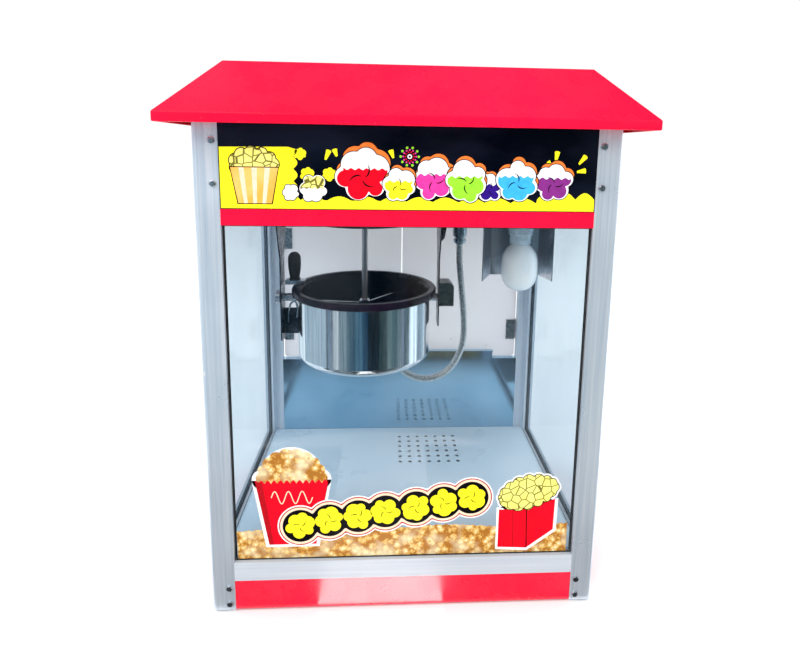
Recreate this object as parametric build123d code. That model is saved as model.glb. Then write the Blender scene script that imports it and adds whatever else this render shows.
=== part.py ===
from build123d import *
import math
import os

# Countertop popcorn machine: glass cabinet on four posts, red hip roof, tilting kettle.
# Millimetres, +Z up, front towards -Y, origin on the table under the middle of the cabinet.

# ---- driving dimensions -------------------------------------------------------------
WIDTH = 500.0            # across the corner posts
DEPTH = 360.0            # front to back over the posts
FOOT = 3.0               # rubber pad height
SHEET = 1.2              # painted and stainless sheet
GLASS = 4.0              # cabinet panes

POST_LEG = 30.0          # visible width of a corner post
POST_DEEP = 14.0         # thickness of each leg of the post
POST_WALL = 1.6
POST_ROUND = 6.0         # outer corner radius
GLASS_INSET = 7.5        # outer face to the middle of a pane
SLOT_DEPTH = 9.0         # how far a pane enters a post
SLOT_PLAY = 0.3          # air on each side of a pane in its slot
POST_CHAMBER = 17.4      # length of each leg of the hollow in a post
SLOT_CORNER = 4.0        # solid corner left in the hollow
SCREW_HEAD_R, SCREW_HEAD_H = 4.0, 2.6
SCREW_SHANK_R, SCREW_HOLE_R = 1.6, 1.7
RAIL_GROOVE = 8.0        # depth of the pane's groove in a rail
PANE_LAP = 7.0           # how far a pane enters the rails
PANE_END_PLAY = 0.6      # air between a pane's edge and the bottom of its slot
PANEL_INSET = 0.8        # sheet panels stand this far inside the post faces
PANEL_FOLD = 12.0        # depth of a sheet panel's folded edges

SKIRT_BOTTOM = FOOT + 0.5
SKIRT_TOP = FOOT + 41.5
SILL_TOP = FOOT + 67.4
FLOOR_TOP = FOOT + 64.6
REAR_PANEL_TOP = FOOT + 204.0
REAR_LIP_TOP = FOOT + 222.0
HEAD_BOTTOM = FOOT + 504.0
STRIP_TOP = FOOT + 523.0
EAVE = FOOT + 624.6
HEAD_TOP = EAVE + 1.6    # top of the posts and head panels, inside the roof's lip
ROOF_TOP = FOOT + 693.0
ROOF_LIP = 6.0           # upright edge of the roof above the eave
ROOF_HEM = 5.0           # how far the upright edge hangs below the eave
ROOF_W, ROOF_D = 560.0, 420.0
ROOF_RUN = 60.0          # horizontal run of every roof slope

SWITCH_XS = (-60.0, 0.0, 60.0)
SWITCH_Z = FOOT + 566.0
SWITCH_W, SWITCH_H = 27.0, 22.6      # pocket of a switch body
ROCKER_TILT = 8.0        # degrees each way from level
AXLE_SET_BACK = 3.0      # rocker axle behind the panel's face

KETTLE_X, KETTLE_Y = -61.5, 5.0
PIVOT_Z = FOOT + 368.0   # tilt axis, along X
RIM_TOP = FOOT + 386.4
RIM_BOTTOM = FOOT + 376.1
RIM_R = 110.0
RIM_INNER_R = 100.0
SHELL_R = 101.0
SHELL_BOTTOM = FOOT + 277.0
SHELL_EDGE_R = 12.0
PAN_R = 98.0
PAN_WALL = 2.0
PAN_FLOOR = FOOT + 340.0
TRUNNION_R = 6.0
RUNNING = 0.05           # radial play of a pin that turns in its hole
SHAFT_R = 4.5
SHAFT_TOP = FOOT + 484.6
SHIELD_BOTTOM = FOOT + 486.0
SHIELD_R = 85.0
ARM_T = 6.0              # thickness of the bar under the grip
GRIP_X, GRIP_Y = -170.0, KETTLE_Y + 12.0
WIRE_R = 1.5             # stirrer wires
BLADE_REACH = 84.0

HANGER_LEFT_X = -187.0   # mid-planes of the two hanger plates
HANGER_RIGHT_X = 52.0
HANGER_T = 2.0
HANGER_FLANGE = 18.0
CATCH_PLATE_Y = KETTLE_Y + 20.0

DOOR_GAP = 1.0           # half the gap where the two doors meet
DOOR_EDGE = 218.0
DOOR_BOTTOM = FOOT + 205.0
DOOR_TOP = FOOT + 501.0
HINGE_X = 220.4
HINGE_Y = DEPTH / 2 + 2.8
HINGE_LEVELS = (FOOT + 257.6, FOOT + 431.0)
HINGE_H = 38.0
KNUCKLE_R = 2.6
PIN_R = 1.2
LEAF_T = 1.2             # thickness of a hinge leaf
LEAF_PLAY = 0.3          # air between the moving and fixed parts of a hinge

DRAWER_X0, DRAWER_X1 = -42.0, 138.0
DRAWER_Y0 = -20.0
DRAWER_BOTTOM = FOOT + 8.0
DRAWER_TOP = FOOT + 48.0
PULL_HALF = 35.0         # half the width of the drawer's finger pull
RUNNER_SHELF = 3.0       # how far a runner reaches under the drawer
RUNNER_GUIDE = 4.0       # height of a runner's guide above the drawer's bottom
RUNNER_GAP = 0.5         # air beside the drawer
RUNNER_PLAY = 0.4        # air under the drawer

LAMP_X, LAMP_Y = 187.0, 40.0
HOSE_R = 5.5
HOSE_X, HOSE_Y = 87.0, 30.0
HOSE_START_Z = FOOT + 449.0
KETTLE_GLAND = (-8.0, 5.0)

HALF_W, HALF_D = WIDTH / 2, DEPTH / 2
OPEN_W = HALF_W - POST_LEG          # half the clear width between posts
OPEN_D = HALF_D - POST_LEG
BAY_W = HALF_W - POST_DEEP          # half the width inside the side rails
BAY_D = HALF_D - POST_DEEP
SCREW_LEVELS = (FOOT + 8.9, FOOT + 31.6, FOOT + 552.2, FOOT + 601.0)
SCREW_INSET = 23.0                  # screw centre to the outer corner
REAR_FACE = HALF_D - PANEL_INSET    # outer face of the rear panels
GLAND_X, GLAND_Z = -180.0, FOOT + 26.0
REAR_INNER_Y = 165.0                # inner face of the rear lower panel


# ---- helpers --------------------------------------------------------------------------
def block(x0, x1, y0, y1, z0, z1):
    """Box between two corners."""
    return Pos((x0 + x1) / 2, (y0 + y1) / 2, (z0 + z1) / 2) * Box(x1 - x0, y1 - y0, z1 - z0)


def rod(radius, start, end):
    """Round bar from one point to another."""
    along = Vector(*end) - Vector(*start)
    return Part() + Solid.make_cylinder(radius, along.length, Plane(Vector(*start), z_dir=along))


def upright(radius, x, y, z0, z1):
    return rod(radius, (x, y, z0), (x, y, z1))


def about_kettle(part):
    return Pos(KETTLE_X, KETTLE_Y, 0) * part


def revolve_outline(points):
    """Turn an (r, z) outline about the Z axis."""
    return revolve(Plane.XZ * make_face(Polyline(points, close=True)), Axis.Z)


def mirrored(part):
    return mirror(part, about=Plane.YZ)


def bend_radii(points):
    """Largest tangent arc at each inner corner of a tube's route."""
    radii = []
    for before, here, after in zip(points, points[1:], points[2:]):
        into, out = Vector(*here) - Vector(*before), Vector(*after) - Vector(*here)
        turn = math.radians(into.get_angle(out))
        radii.append(0.45 * min(into.length, out.length) / math.tan(turn / 2))
    return radii


def tube(points, radius):
    """Tube along straight runs joined by tangent arcs."""
    radii = bend_radii(points)
    path = FilletPolyline(*points, radius=radii)
    start = Vector(*points[1]) - Vector(*points[0])
    section = Plane(Vector(*points[0]), z_dir=start) * Circle(radius)
    print("bend radii", [round(r) for r in radii], "length", round(path.length))
    return sweep(section, path=path)


def save(name, *solids):
    shape = solids[0] if len(solids) == 1 else Compound(children=list(solids))
    export_step(shape, f"parts/{name}.step")


# ---- cabinet frame ----------------------------------------------------------------------
def corner_post():
    """Front-left post: L extrusion, hollow in the corner, with a pane slot in each leg."""
    x, y = -HALF_W, -HALF_D
    leg = POST_LEG
    square = Rectangle(leg, leg, align=Align.MIN)
    outline = square - Pos(POST_DEEP, POST_DEEP) * square
    outer_corner = outline.vertices().sort_by(lambda v: v.X + v.Y)[0]
    outline = fillet(outer_corner, POST_ROUND)
    hollow_leg = Rectangle(POST_CHAMBER, POST_DEEP - 2 * POST_WALL, align=Align.MIN)
    hollow_leg += Rectangle(POST_DEEP - 2 * POST_WALL, POST_CHAMBER, align=Align.MIN)
    corner_cut = Rectangle(SLOT_CORNER, SLOT_CORNER, align=Align.MIN)
    chamber = Pos(POST_WALL, POST_WALL) * (hollow_leg - corner_cut)
    slot_w = GLASS + 2 * SLOT_PLAY
    slot = Pos(leg - SLOT_DEPTH, GLASS_INSET - slot_w / 2) * Rectangle(
        SLOT_DEPTH, slot_w, align=Align.MIN)
    other_slot = Pos(GLASS_INSET - slot_w / 2, leg - SLOT_DEPTH) * Rectangle(
        slot_w, SLOT_DEPTH, align=Align.MIN)
    section = outline - chamber - slot - other_slot
    post = extrude(Plane((x, y, FOOT)) * section, HEAD_TOP - FOOT)
    hole_x = x + SCREW_INSET
    for level in SCREW_LEVELS:
        post -= rod(SCREW_HOLE_R, (hole_x, y - 1, level), (hole_x, y + POST_WALL + 1, level))
    return post


def pan_head_screw(x, side, level):
    """Cross-headed screw on the front (side -1) or rear (side 1) face of a post."""
    face = side * HALF_D
    top = face + side * (SCREW_HEAD_H + 0.2)
    head = rod(SCREW_HEAD_R, (x, face, level), (x, face + side * SCREW_HEAD_H, level))
    head = fillet(head.faces().sort_by(Axis.Y)[0 if side < 0 else -1].edges(), 1.2)
    shank = rod(SCREW_SHANK_R, (x, face, level), (x, face - side * 2.4, level))
    level_cut = block(x - 2.4, x + 2.4, top - 0.9, top + 0.9, level - 0.4, level + 0.4)
    upright_cut = block(x - 0.4, x + 0.4, top - 0.9, top + 0.9, level - 2.4, level + 2.4)
    return head + shank - level_cut - upright_cut


def post_screws():
    """The screws of the four posts, four to a post."""
    x = HALF_W - SCREW_INSET
    return [pan_head_screw(side_x * x, side_y, level)
            for side_x in (-1, 1) for side_y in (-1, 1) for level in SCREW_LEVELS]


def rail(half, z0, z1, groove_up):
    """Front rail, hollow, with the pane's groove in its top or bottom face."""
    y0 = -HALF_D
    body = block(-half, half, y0, y0 + POST_DEEP, z0, z1)
    slot_w = GLASS + 2 * SLOT_PLAY
    mid = y0 + GLASS_INSET
    if groove_up:
        groove_z = (z1 - RAIL_GROOVE, z1)
        hollow_z = (z0 + POST_WALL, z1 - RAIL_GROOVE - POST_WALL)
    else:
        groove_z = (z0, z0 + RAIL_GROOVE)
        hollow_z = (z0 + RAIL_GROOVE + POST_WALL, z1 - POST_WALL)
    body -= block(-half, half, mid - slot_w / 2, mid + slot_w / 2, *groove_z)
    return body - block(-half, half, y0 + POST_WALL, y0 + POST_DEEP - POST_WALL, *hollow_z)


def to_left(part):
    """Turn a front piece onto the left side of the cabinet."""
    return Pos(HALF_D - HALF_W, 0, 0) * Rot(0, 0, -90) * part


def folded_panel(half, z0, z1):
    """Front sheet panel with its top and bottom edges folded inwards."""
    y0 = -REAR_FACE
    panel = block(-half, half, y0, y0 + SHEET, z0, z1)
    panel += block(-half, half, y0, y0 + PANEL_FOLD, z0, z0 + SHEET)
    return panel + block(-half, half, y0, y0 + PANEL_FOLD, z1 - SHEET, z1)


def pane(half):
    """Front pane for a clear opening of a given half width."""
    mid = -HALF_D + GLASS_INSET
    reach = half + SLOT_DEPTH - PANE_END_PLAY
    return block(-reach, reach, mid - GLASS / 2, mid + GLASS / 2, SILL_TOP - PANE_LAP,
                 HEAD_BOTTOM + PANE_LAP)


def frame_parts():
    post = corner_post()
    rear_post = mirror(post, about=Plane.XZ)
    save("corner_post_front_left", post)
    save("corner_post_front_right", mirrored(post))
    save("corner_post_rear_left", rear_post)
    save("corner_post_rear_right", mirrored(rear_post))
    save("post_screws", *post_screws())

    save("front_skirt", folded_panel(OPEN_W, SKIRT_BOTTOM, SKIRT_TOP))
    left_skirt = to_left(folded_panel(OPEN_D, SKIRT_BOTTOM, SKIRT_TOP))
    save("side_skirts", left_skirt, mirrored(left_skirt))
    save("front_sill", rail(OPEN_W, SKIRT_TOP, SILL_TOP, True))
    left_sill = to_left(rail(OPEN_D, SKIRT_TOP, SILL_TOP, True))
    save("side_sills", left_sill, mirrored(left_sill))
    save("front_head_rail", rail(OPEN_W, HEAD_BOTTOM, STRIP_TOP, False))
    left_rail = to_left(rail(OPEN_D, HEAD_BOTTOM, STRIP_TOP, False))
    save("side_head_rails", left_rail, mirrored(left_rail))
    save("sign_panel", folded_panel(OPEN_W, STRIP_TOP, HEAD_TOP))
    left_sign = to_left(folded_panel(OPEN_D, STRIP_TOP, HEAD_TOP))
    save("side_head_panels", left_sign, mirrored(left_sign))
    save("front_glass", pane(OPEN_W))
    left_pane = to_left(pane(OPEN_D))
    save("left_glass", left_pane)
    save("right_glass", mirrored(left_pane))


# ---- base --------------------------------------------------------------------------------
def rubber_feet():
    """Round pads, one near each corner."""
    foot_r, inset = 12.0, 32.0
    feet = []
    for x in (-HALF_W + inset, HALF_W - inset):
        for y in (-HALF_D + inset, HALF_D - inset):
            foot = upright(foot_r, x, y, 0, FOOT)
            feet.append(fillet(foot.faces().sort_by(Axis.Z)[0].edges(), 1.0))
    return feet


def base_plate():
    """Flat bottom sheet."""
    return block(-BAY_W + 1, BAY_W - 1, -BAY_D + 1, BAY_D - 3, FOOT, FOOT + SHEET)


def drawer_runner(wall_x, inwards):
    """Folded angle on the base plate: a shelf under the drawer's edge and a low guide beside it."""
    far_x = wall_x + inwards * (SHEET + RUNNER_SHELF)
    shelf_top = DRAWER_BOTTOM - RUNNER_PLAY
    guide_x0, guide_x1 = sorted((wall_x, wall_x + inwards * SHEET))
    shelf_x0, shelf_x1 = sorted((wall_x, far_x))
    y0, y1 = DRAWER_Y0 - 10, BAY_D - 3
    guide = block(guide_x0, guide_x1, y0, y1, FOOT + SHEET, DRAWER_BOTTOM + RUNNER_GUIDE)
    return guide + block(shelf_x0, shelf_x1, y0, y1, shelf_top - SHEET, shelf_top)


def floor_pan():
    """Popcorn floor: sheet with folded edges and a sieve that drops loose kernels."""
    x1, y0, y1 = BAY_W - 0.4, -BAY_D + 0.4, REAR_INNER_Y - 0.6
    edge_bottom = FLOOR_TOP - 14
    pan = block(-x1, x1, y0, y1, edge_bottom, FLOOR_TOP)
    pan -= block(-x1 + SHEET, x1 - SHEET, y0 + SHEET, y1 - SHEET, edge_bottom, FLOOR_TOP - SHEET)
    columns, rows, pitch, hole_r = 7, 6, 16.6, 3.3
    first_x, first_y = -2.0, 49.0
    for i in range(columns):
        for j in range(rows):
            pan -= upright(hole_r, first_x + i * pitch, first_y + j * pitch, FLOOR_TOP - 2, FLOOR_TOP + 1)
    return pan


def rear_skirt():
    """Red sheet across the back of the base, with the drawer's opening."""
    y1 = REAR_FACE
    skirt = block(-OPEN_W, OPEN_W, y1 - SHEET, y1, SKIRT_BOTTOM, SILL_TOP)
    skirt += block(-OPEN_W, OPEN_W, y1 - 10, y1, SKIRT_BOTTOM, SKIRT_BOTTOM + SHEET)
    skirt -= block(DRAWER_X0 - 0.6, DRAWER_X1 + 0.6, y1 - 20, y1 + 1, DRAWER_BOTTOM - 3,
                   DRAWER_TOP + 0.8)
    return skirt - rod(8.1, (GLAND_X, y1 - 5, GLAND_Z), (GLAND_X, y1 + 1, GLAND_Z))


def crumb_drawer():
    """Open tray with a front plate and a folded finger pull, sliding out at the back."""
    x0, x1 = DRAWER_X0, DRAWER_X1
    middle = (x0 + x1) / 2
    front_y = HALF_D - 0.5
    plate_y = front_y + 1.5
    pull_y = plate_y + 16.5
    pull_top = DRAWER_TOP - 12.5
    tray = block(x0, x1, DRAWER_Y0, front_y, DRAWER_BOTTOM, DRAWER_TOP)
    tray -= block(x0 + SHEET, x1 - SHEET, DRAWER_Y0 + SHEET, front_y - SHEET,
                  DRAWER_BOTTOM + SHEET, DRAWER_TOP)
    tray += block(x0 - 8, x1 + 8, front_y, plate_y, FOOT + 2, DRAWER_TOP + 8)
    tray += block(middle - PULL_HALF, middle + PULL_HALF, plate_y, pull_y, pull_top - 1.5, pull_top)
    return tray + block(middle - PULL_HALF, middle + PULL_HALF, pull_y - 1.5, pull_y,
                        pull_top - 11.5, pull_top - 1.5)


def rear_lower_panel():
    """Double-skinned stainless panel under the doors, with a raised lip inside."""
    top, bottom = REAR_PANEL_TOP, FLOOR_TOP - 10
    inner_y, outer_y = REAR_INNER_Y, REAR_FACE
    lip_half, lip_deep = 174.0, 9.0
    panel = block(-OPEN_W, OPEN_W, inner_y, outer_y, bottom, top)
    panel -= block(-OPEN_W, OPEN_W, inner_y + SHEET, outer_y - SHEET, bottom, top - SHEET)
    panel -= block(-OPEN_W, OPEN_W, outer_y - SHEET, outer_y, bottom, SILL_TOP)
    panel += block(-lip_half, lip_half, inner_y, inner_y + SHEET, top, REAR_LIP_TOP)
    return panel + block(-lip_half, lip_half, inner_y - lip_deep, inner_y, REAR_LIP_TOP - SHEET,
                         REAR_LIP_TOP)


def cord_gland():
    """Moulded bush where the mains lead enters the base."""
    x, z, wall = GLAND_X, GLAND_Z, REAR_FACE
    bush = rod(11, (x, wall, z), (x, wall + 4, z)) + rod(8, (x, wall - 6, z), (x, wall + 12, z))
    return bush - rod(3.7, (x, wall - 10, z), (x, wall + 16, z))


def base_parts():
    save("rubber_feet", *rubber_feet())
    left_runner = drawer_runner(DRAWER_X0 - RUNNER_GAP - SHEET, 1)
    right_runner = drawer_runner(DRAWER_X1 + RUNNER_GAP + SHEET, -1)
    save("base_plate", base_plate(), left_runner, right_runner)
    save("floor_pan", floor_pan())
    save("rear_skirt", rear_skirt())
    save("crumb_drawer", crumb_drawer())
    save("rear_lower_panel", rear_lower_panel())
    save("cord_gland", cord_gland())


# ---- head and roof ---------------------------------------------------------------------------
def head_floor():
    """Stainless ceiling of the popcorn space, which carries the kettle and the drive."""
    plate = block(-BAY_W + 0.5, BAY_W - 0.5, -BAY_D + 0.5, BAY_D - 0.5, HEAD_BOTTOM,
                  HEAD_BOTTOM + SHEET)
    for hole_r, x, y in ((10, KETTLE_X, KETTLE_Y), (6.5, HOSE_X, HOSE_Y), (5, LAMP_X, LAMP_Y)):
        plate -= upright(hole_r, x, y, HEAD_BOTTOM - 1, HEAD_BOTTOM + 2)
    return plate


def control_panel():
    """Stainless panel behind the head, with three switch cut-outs."""
    y1, bottom = REAR_FACE, HEAD_BOTTOM + 0.2
    panel = block(-OPEN_W, OPEN_W, y1 - SHEET, y1, bottom, HEAD_TOP)
    panel += block(-OPEN_W, OPEN_W, BAY_D - 0.3, y1, bottom, bottom + SHEET)
    panel += block(-OPEN_W, OPEN_W, y1 - PANEL_FOLD, y1, HEAD_TOP - SHEET, HEAD_TOP)
    for x in SWITCH_XS:
        panel -= block(x - 15, x + 15, y1 - 3, y1 + 1, SWITCH_Z - 13, SWITCH_Z + 13)
    return panel


def switch_housing(x):
    """Snap-in rocker switch body with its bezel, two blades and the rocker's bearings."""
    face, z = REAR_FACE, SWITCH_Z
    body = block(x - 17.5, x + 17.5, face, face + 2, z - 15, z + 15)
    body += block(x - 14.8, x + 14.8, face - 22, face, z - 12.8, z + 12.8)
    for blade_x in (x - 7, x + 7):
        body += block(blade_x - 3, blade_x + 3, face - 30, face - 22, z - 0.4, z + 0.4)
    body -= block(x - SWITCH_W / 2, x + SWITCH_W / 2, face - 16, face + 3,
                  z - SWITCH_H / 2, z + SWITCH_H / 2)
    axle_y = face - AXLE_SET_BACK
    return body - rod(1.5, (x - 14.6, axle_y, z), (x + 14.6, axle_y, z))


def rocker(x):
    """Rocker with its two stub axles, at rest with the lower end pressed in."""
    key = block(-13.1, 13.1, -7, 4.5, -9.6, 9.6)
    finger_hollow = Pos(0, 30.5, 0) * Rot(0, 90, 0) * Cylinder(28, 40)
    key = Rot(-ROCKER_TILT, 0, 0) * (key - finger_hollow)
    key += rod(1.4, (-14.4, 0, 0), (14.4, 0, 0))
    return Pos(x, REAR_FACE - AXLE_SET_BACK, SWITCH_Z) * key


def top_plate():
    """Shallow tray on the posts that the roof fits over; its underside is the soffit."""
    half_w, half_d = ROOF_W / 2 - SHEET - 0.2, ROOF_D / 2 - SHEET - 0.2
    plate = block(-half_w, half_w, -half_d, half_d, HEAD_TOP, EAVE + ROOF_LIP - 0.6)
    return plate - block(-half_w + SHEET, half_w - SHEET, -half_d + SHEET, half_d - SHEET,
                         HEAD_TOP + SHEET, EAVE + ROOF_LIP)


def roof():
    """Hip roof of folded sheet: upright lip, four equal slopes and a flat top."""
    def frustum(inset, z1, z2):
        w, d = ROOF_W - 2 * inset, ROOF_D - 2 * inset
        slope_w, slope_d = w - 2 * ROOF_RUN, d - 2 * ROOF_RUN
        low = Plane.XY.offset(z1) * Rectangle(w, d)
        high = Plane.XY.offset(z2) * Rectangle(slope_w, slope_d)
        edge = block(-w / 2, w / 2, -d / 2, d / 2, EAVE - ROOF_HEM, z1)
        return edge + loft([low.face(), high.face()])
    outer = frustum(0, EAVE + ROOF_LIP, ROOF_TOP)
    return outer - frustum(SHEET, EAVE + ROOF_LIP - 0.5, ROOF_TOP - SHEET - 0.5)


def heat_shield():
    """Black dish that closes the gearmotor's opening above the kettle."""
    dish = upright(SHIELD_R, 0, 0, SHIELD_BOTTOM, HEAD_BOTTOM)
    dish = fillet(dish.faces().sort_by(Axis.Z)[0].edges(), 3)
    dish -= upright(SHIELD_R - 1.5, 0, 0, SHIELD_BOTTOM + 1.5, HEAD_BOTTOM + 1)
    dish -= upright(10, 0, 0, SHIELD_BOTTOM - 1, HEAD_BOTTOM)
    return about_kettle(dish)


def gearmotor():
    """Gearbox on the head floor with the motor can above it."""
    z0 = HEAD_BOTTOM + SHEET
    box = fillet(block(-36, 36, -28, 28, z0, z0 + 32).edges().filter_by(Axis.Z), 6)
    box += block(-48, 48, -9, 9, z0, z0 + 3)
    box -= upright(SHAFT_R + RUNNING, 0, 0, z0 - 1, z0 + 16)
    can = upright(26, 8, 0, z0 + 32, z0 + 84)
    can = fillet(can.faces().sort_by(Axis.Z)[-1].edges(), 3)
    can += upright(6, 8, 0, z0 + 84, z0 + 90)
    return about_kettle(box), about_kettle(can)


def drive_coupling():
    """Output shaft of the gearmotor, ending level with the shield's face."""
    coupling = upright(7, 0, 0, SHIELD_BOTTOM + 0.6, HEAD_BOTTOM - 1)
    coupling += upright(SHAFT_R, 0, 0, HEAD_BOTTOM - 1, HEAD_BOTTOM + SHEET + 14)
    return about_kettle(coupling)


def terminal_block():
    """Ceramic terminal strip for the lead, the heater, the lamp and the motor."""
    z0 = HEAD_BOTTOM + SHEET
    strip = block(60, 130, 60, 84, z0, z0 + 18)
    for i in range(5):
        x = 67 + i * 14
        strip -= upright(3, x, 67, z0 + 12, z0 + 19)
        strip -= upright(3, x, 77, z0 + 12, z0 + 19)
    return strip


def head_parts():
    save("head_floor", head_floor())
    save("control_panel", control_panel())
    save("switch_housings", *[switch_housing(x) for x in SWITCH_XS])
    for name, x in zip(("rocker_heat", "rocker_motor", "rocker_lamp"), SWITCH_XS):
        save(name, rocker(x))
    save("top_plate", top_plate())
    save("roof", roof())
    save("heat_shield", heat_shield())
    save("gearmotor", *gearmotor())
    save("drive_coupling", drive_coupling())
    save("terminal_block", terminal_block())


# ---- lamp ------------------------------------------------------------------------------------
def lamp_socket():
    """Stepped holder, open below, under the head floor."""
    socket = upright(20, 0, 0, FOOT + 462, HEAD_BOTTOM - SHEET)
    socket += upright(17, 0, 0, FOOT + 447.5, FOOT + 462)
    socket -= upright(13.5, 0, 0, FOOT + 440, FOOT + 480)
    return Pos(LAMP_X, LAMP_Y, 0) * socket


def lamp_bulb():
    """Opal bulb hanging cap-up in the socket, blown hollow."""
    bottom, neck, cap_top = FOOT + 370.5, FOOT + 447.0, FOOT + 473.0
    outer = Spline((0, bottom), (21, bottom + 5), (29, bottom + 24), (28, bottom + 52),
                   (13.2, neck), tangents=[(1, 0), (-0.5, 1)])
    edges = [outer, Polyline((13.2, neck), (13.2, cap_top), (0, cap_top), (0, bottom))]
    glass = revolve(Plane.XZ * make_face(edges), Axis.Z)
    hollow = Pos(0, 0, bottom + 32) * scale(Sphere(26), (1, 1, 1.1))
    return Pos(LAMP_X, LAMP_Y, 0) * (glass - hollow)


def lamp_reflector():
    """Bent stainless screen behind the bulb, with two wings that turn towards the front."""
    top, bottom = HEAD_BOTTOM, FOOT + 388.0
    back_y, wing_y = LAMP_Y + 36, LAMP_Y - 14
    inner, reach_left, reach_right = 40.0, 62.0, 50.0
    x0, x1 = LAMP_X - inner, LAMP_X + inner
    screen = block(x0, x1, back_y, back_y + SHEET, bottom, top)
    for side, reach in ((-1, reach_left), (1, reach_right)):
        near, far = LAMP_X + side * inner, LAMP_X + side * reach
        wing = [(near, back_y), (near, back_y + SHEET), (far + side * SHEET, wing_y), (far, wing_y)]
        wing_face = make_face(Polyline(*wing, close=True))
        screen += extrude(Plane.XY.offset(bottom) * wing_face, top - bottom)
    top_flange = block(x0, x1, LAMP_Y - 24, back_y + SHEET, top - SHEET, top)
    return screen + top_flange - upright(5, LAMP_X, LAMP_Y, top - 3, top + 1)


def lamp_parts():
    save("lamp_socket", lamp_socket())
    save("lamp_bulb", lamp_bulb())
    save("lamp_reflector", lamp_reflector())


# ---- kettle hangers ----------------------------------------------------------------------------
def hanger(mid_x, bottom, flange_side):
    """Plate hanging from the head: wide at the top, narrow at the pivot, with a top flange."""
    y, shoulder, wide, narrow = KETTLE_Y, FOOT + 430, 45.0, 15.0
    outline = [(y - wide, HEAD_BOTTOM), (y + wide, HEAD_BOTTOM), (y + narrow, shoulder),
               (y + narrow, bottom), (y - narrow, bottom), (y - narrow, shoulder)]
    face = Plane.YZ * make_face(Polyline(*outline, close=True))
    x0, x1 = mid_x - HANGER_T / 2, mid_x + HANGER_T / 2
    plate = extrude(Pos(x0, 0, 0) * face, HANGER_T)
    flange_x = (x0, x1 + HANGER_FLANGE) if flange_side > 0 else (x0 - HANGER_FLANGE, x1)
    plate += block(*flange_x, y - wide, y + wide, HEAD_BOTTOM - HANGER_T, HEAD_BOTTOM)
    return plate - rod(TRUNNION_R + RUNNING, (x0 - 1, y, PIVOT_Z), (x1 + 1, y, PIVOT_Z))


def hanger_left():
    """Left hanger with the catch plate bent inwards behind the trunnion."""
    bottom, top = FOOT + 303.0, FOOT + 345.0
    plate = hanger(HANGER_LEFT_X, bottom, -1)
    x0 = HANGER_LEFT_X + HANGER_T / 2
    catch_plate = block(x0 - HANGER_T, x0 + 22, CATCH_PLATE_Y, CATCH_PLATE_Y + SHEET, bottom, top)
    strut = block(x0 - HANGER_T, x0, KETTLE_Y + 15, CATCH_PLATE_Y + SHEET, bottom, top)
    return plate + catch_plate + strut


def hanger_right():
    """Right hanger with the stiffening gusset at its outer face."""
    plate = hanger(HANGER_RIGHT_X, FOOT + 326.0, 1)
    x0 = HANGER_RIGHT_X + HANGER_T / 2
    gusset = [(x0, HEAD_BOTTOM), (x0 + 14, HEAD_BOTTOM), (x0 + 8, FOOT + 462), (x0, FOOT + 452)]
    face = Plane.XZ * make_face(Polyline(*gusset, close=True))
    return plate + Pos(0, KETTLE_Y + 3, 0) * extrude(face, 3, both=True)


def bearing_block():
    """Moulded block outside the right hanger that carries the right trunnion."""
    x0, y = HANGER_RIGHT_X + HANGER_T / 2, KETTLE_Y
    x1 = x0 + 22
    body = block(x0, x1, y - 16, y + 16, FOOT + 358, FOOT + 394)
    body = chamfer(body.edges().filter_by(Axis.Y).sort_by(Axis.Z)[-1], 5)
    return body - rod(TRUNNION_R + RUNNING, (x0 - 1, y, PIVOT_Z), (x1 + 1, y, PIVOT_Z))


def kettle_catch():
    """Bent wire spring on the catch plate that clicks against the handle arm's underside."""
    radius = 1.8
    x, y = HANGER_LEFT_X + 4.5, CATCH_PLATE_Y - radius
    route = [(x, y, FOOT + 322), (x + 0.5, y, FOOT + 340), (x + 5, y - 1, FOOT + 354),
             (x + 12, y - 1, FOOT + 357), (x + 16, y - 0.5, FOOT + 345), (x + 13, y, FOOT + 330)]
    return tube(route, radius)


def hanger_parts():
    save("hanger_left", hanger_left())
    save("hanger_right", hanger_right())
    save("bearing_block", bearing_block())
    save("kettle_catch", kettle_catch())


# ---- kettle ----------------------------------------------------------------------------------------
def kettle_shell():
    """Polished outer pot, open at the top."""
    pot = upright(SHELL_R, 0, 0, SHELL_BOTTOM, RIM_BOTTOM)
    pot = fillet(pot.faces().sort_by(Axis.Z)[0].edges(), SHELL_EDGE_R)
    inside = upright(SHELL_R - 1, 0, 0, SHELL_BOTTOM + 1, RIM_BOTTOM + 1)
    inside = fillet(inside.faces().sort_by(Axis.Z)[0].edges(), SHELL_EDGE_R - 1)
    gland_x = KETTLE_GLAND[0] - KETTLE_X
    gland_y = KETTLE_GLAND[1] - KETTLE_Y
    pot = pot - inside - upright(6.1, gland_x, gland_y, SHELL_BOTTOM - 1, SHELL_BOTTOM + 3)
    return about_kettle(pot)


def kettle_pan():
    """Non-stick inner pan with a thick rolled rim that sits on the shell."""
    pan = upright(PAN_R, 0, 0, PAN_FLOOR - 3, RIM_TOP)
    rim = upright(RIM_R, 0, 0, RIM_BOTTOM, RIM_TOP)
    pan += fillet(rim.edges().filter_by(GeomType.CIRCLE), 3.0)
    bowl = upright(PAN_R - PAN_WALL, 0, 0, PAN_FLOOR, RIM_TOP + 1)
    bowl = fillet(bowl.faces().sort_by(Axis.Z)[0].edges(), 8)
    mouth = Pos(0, 0, RIM_TOP - 2) * Cone(PAN_R - PAN_WALL, RIM_INNER_R + 2, 8)
    return about_kettle(pan - bowl - mouth)


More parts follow.
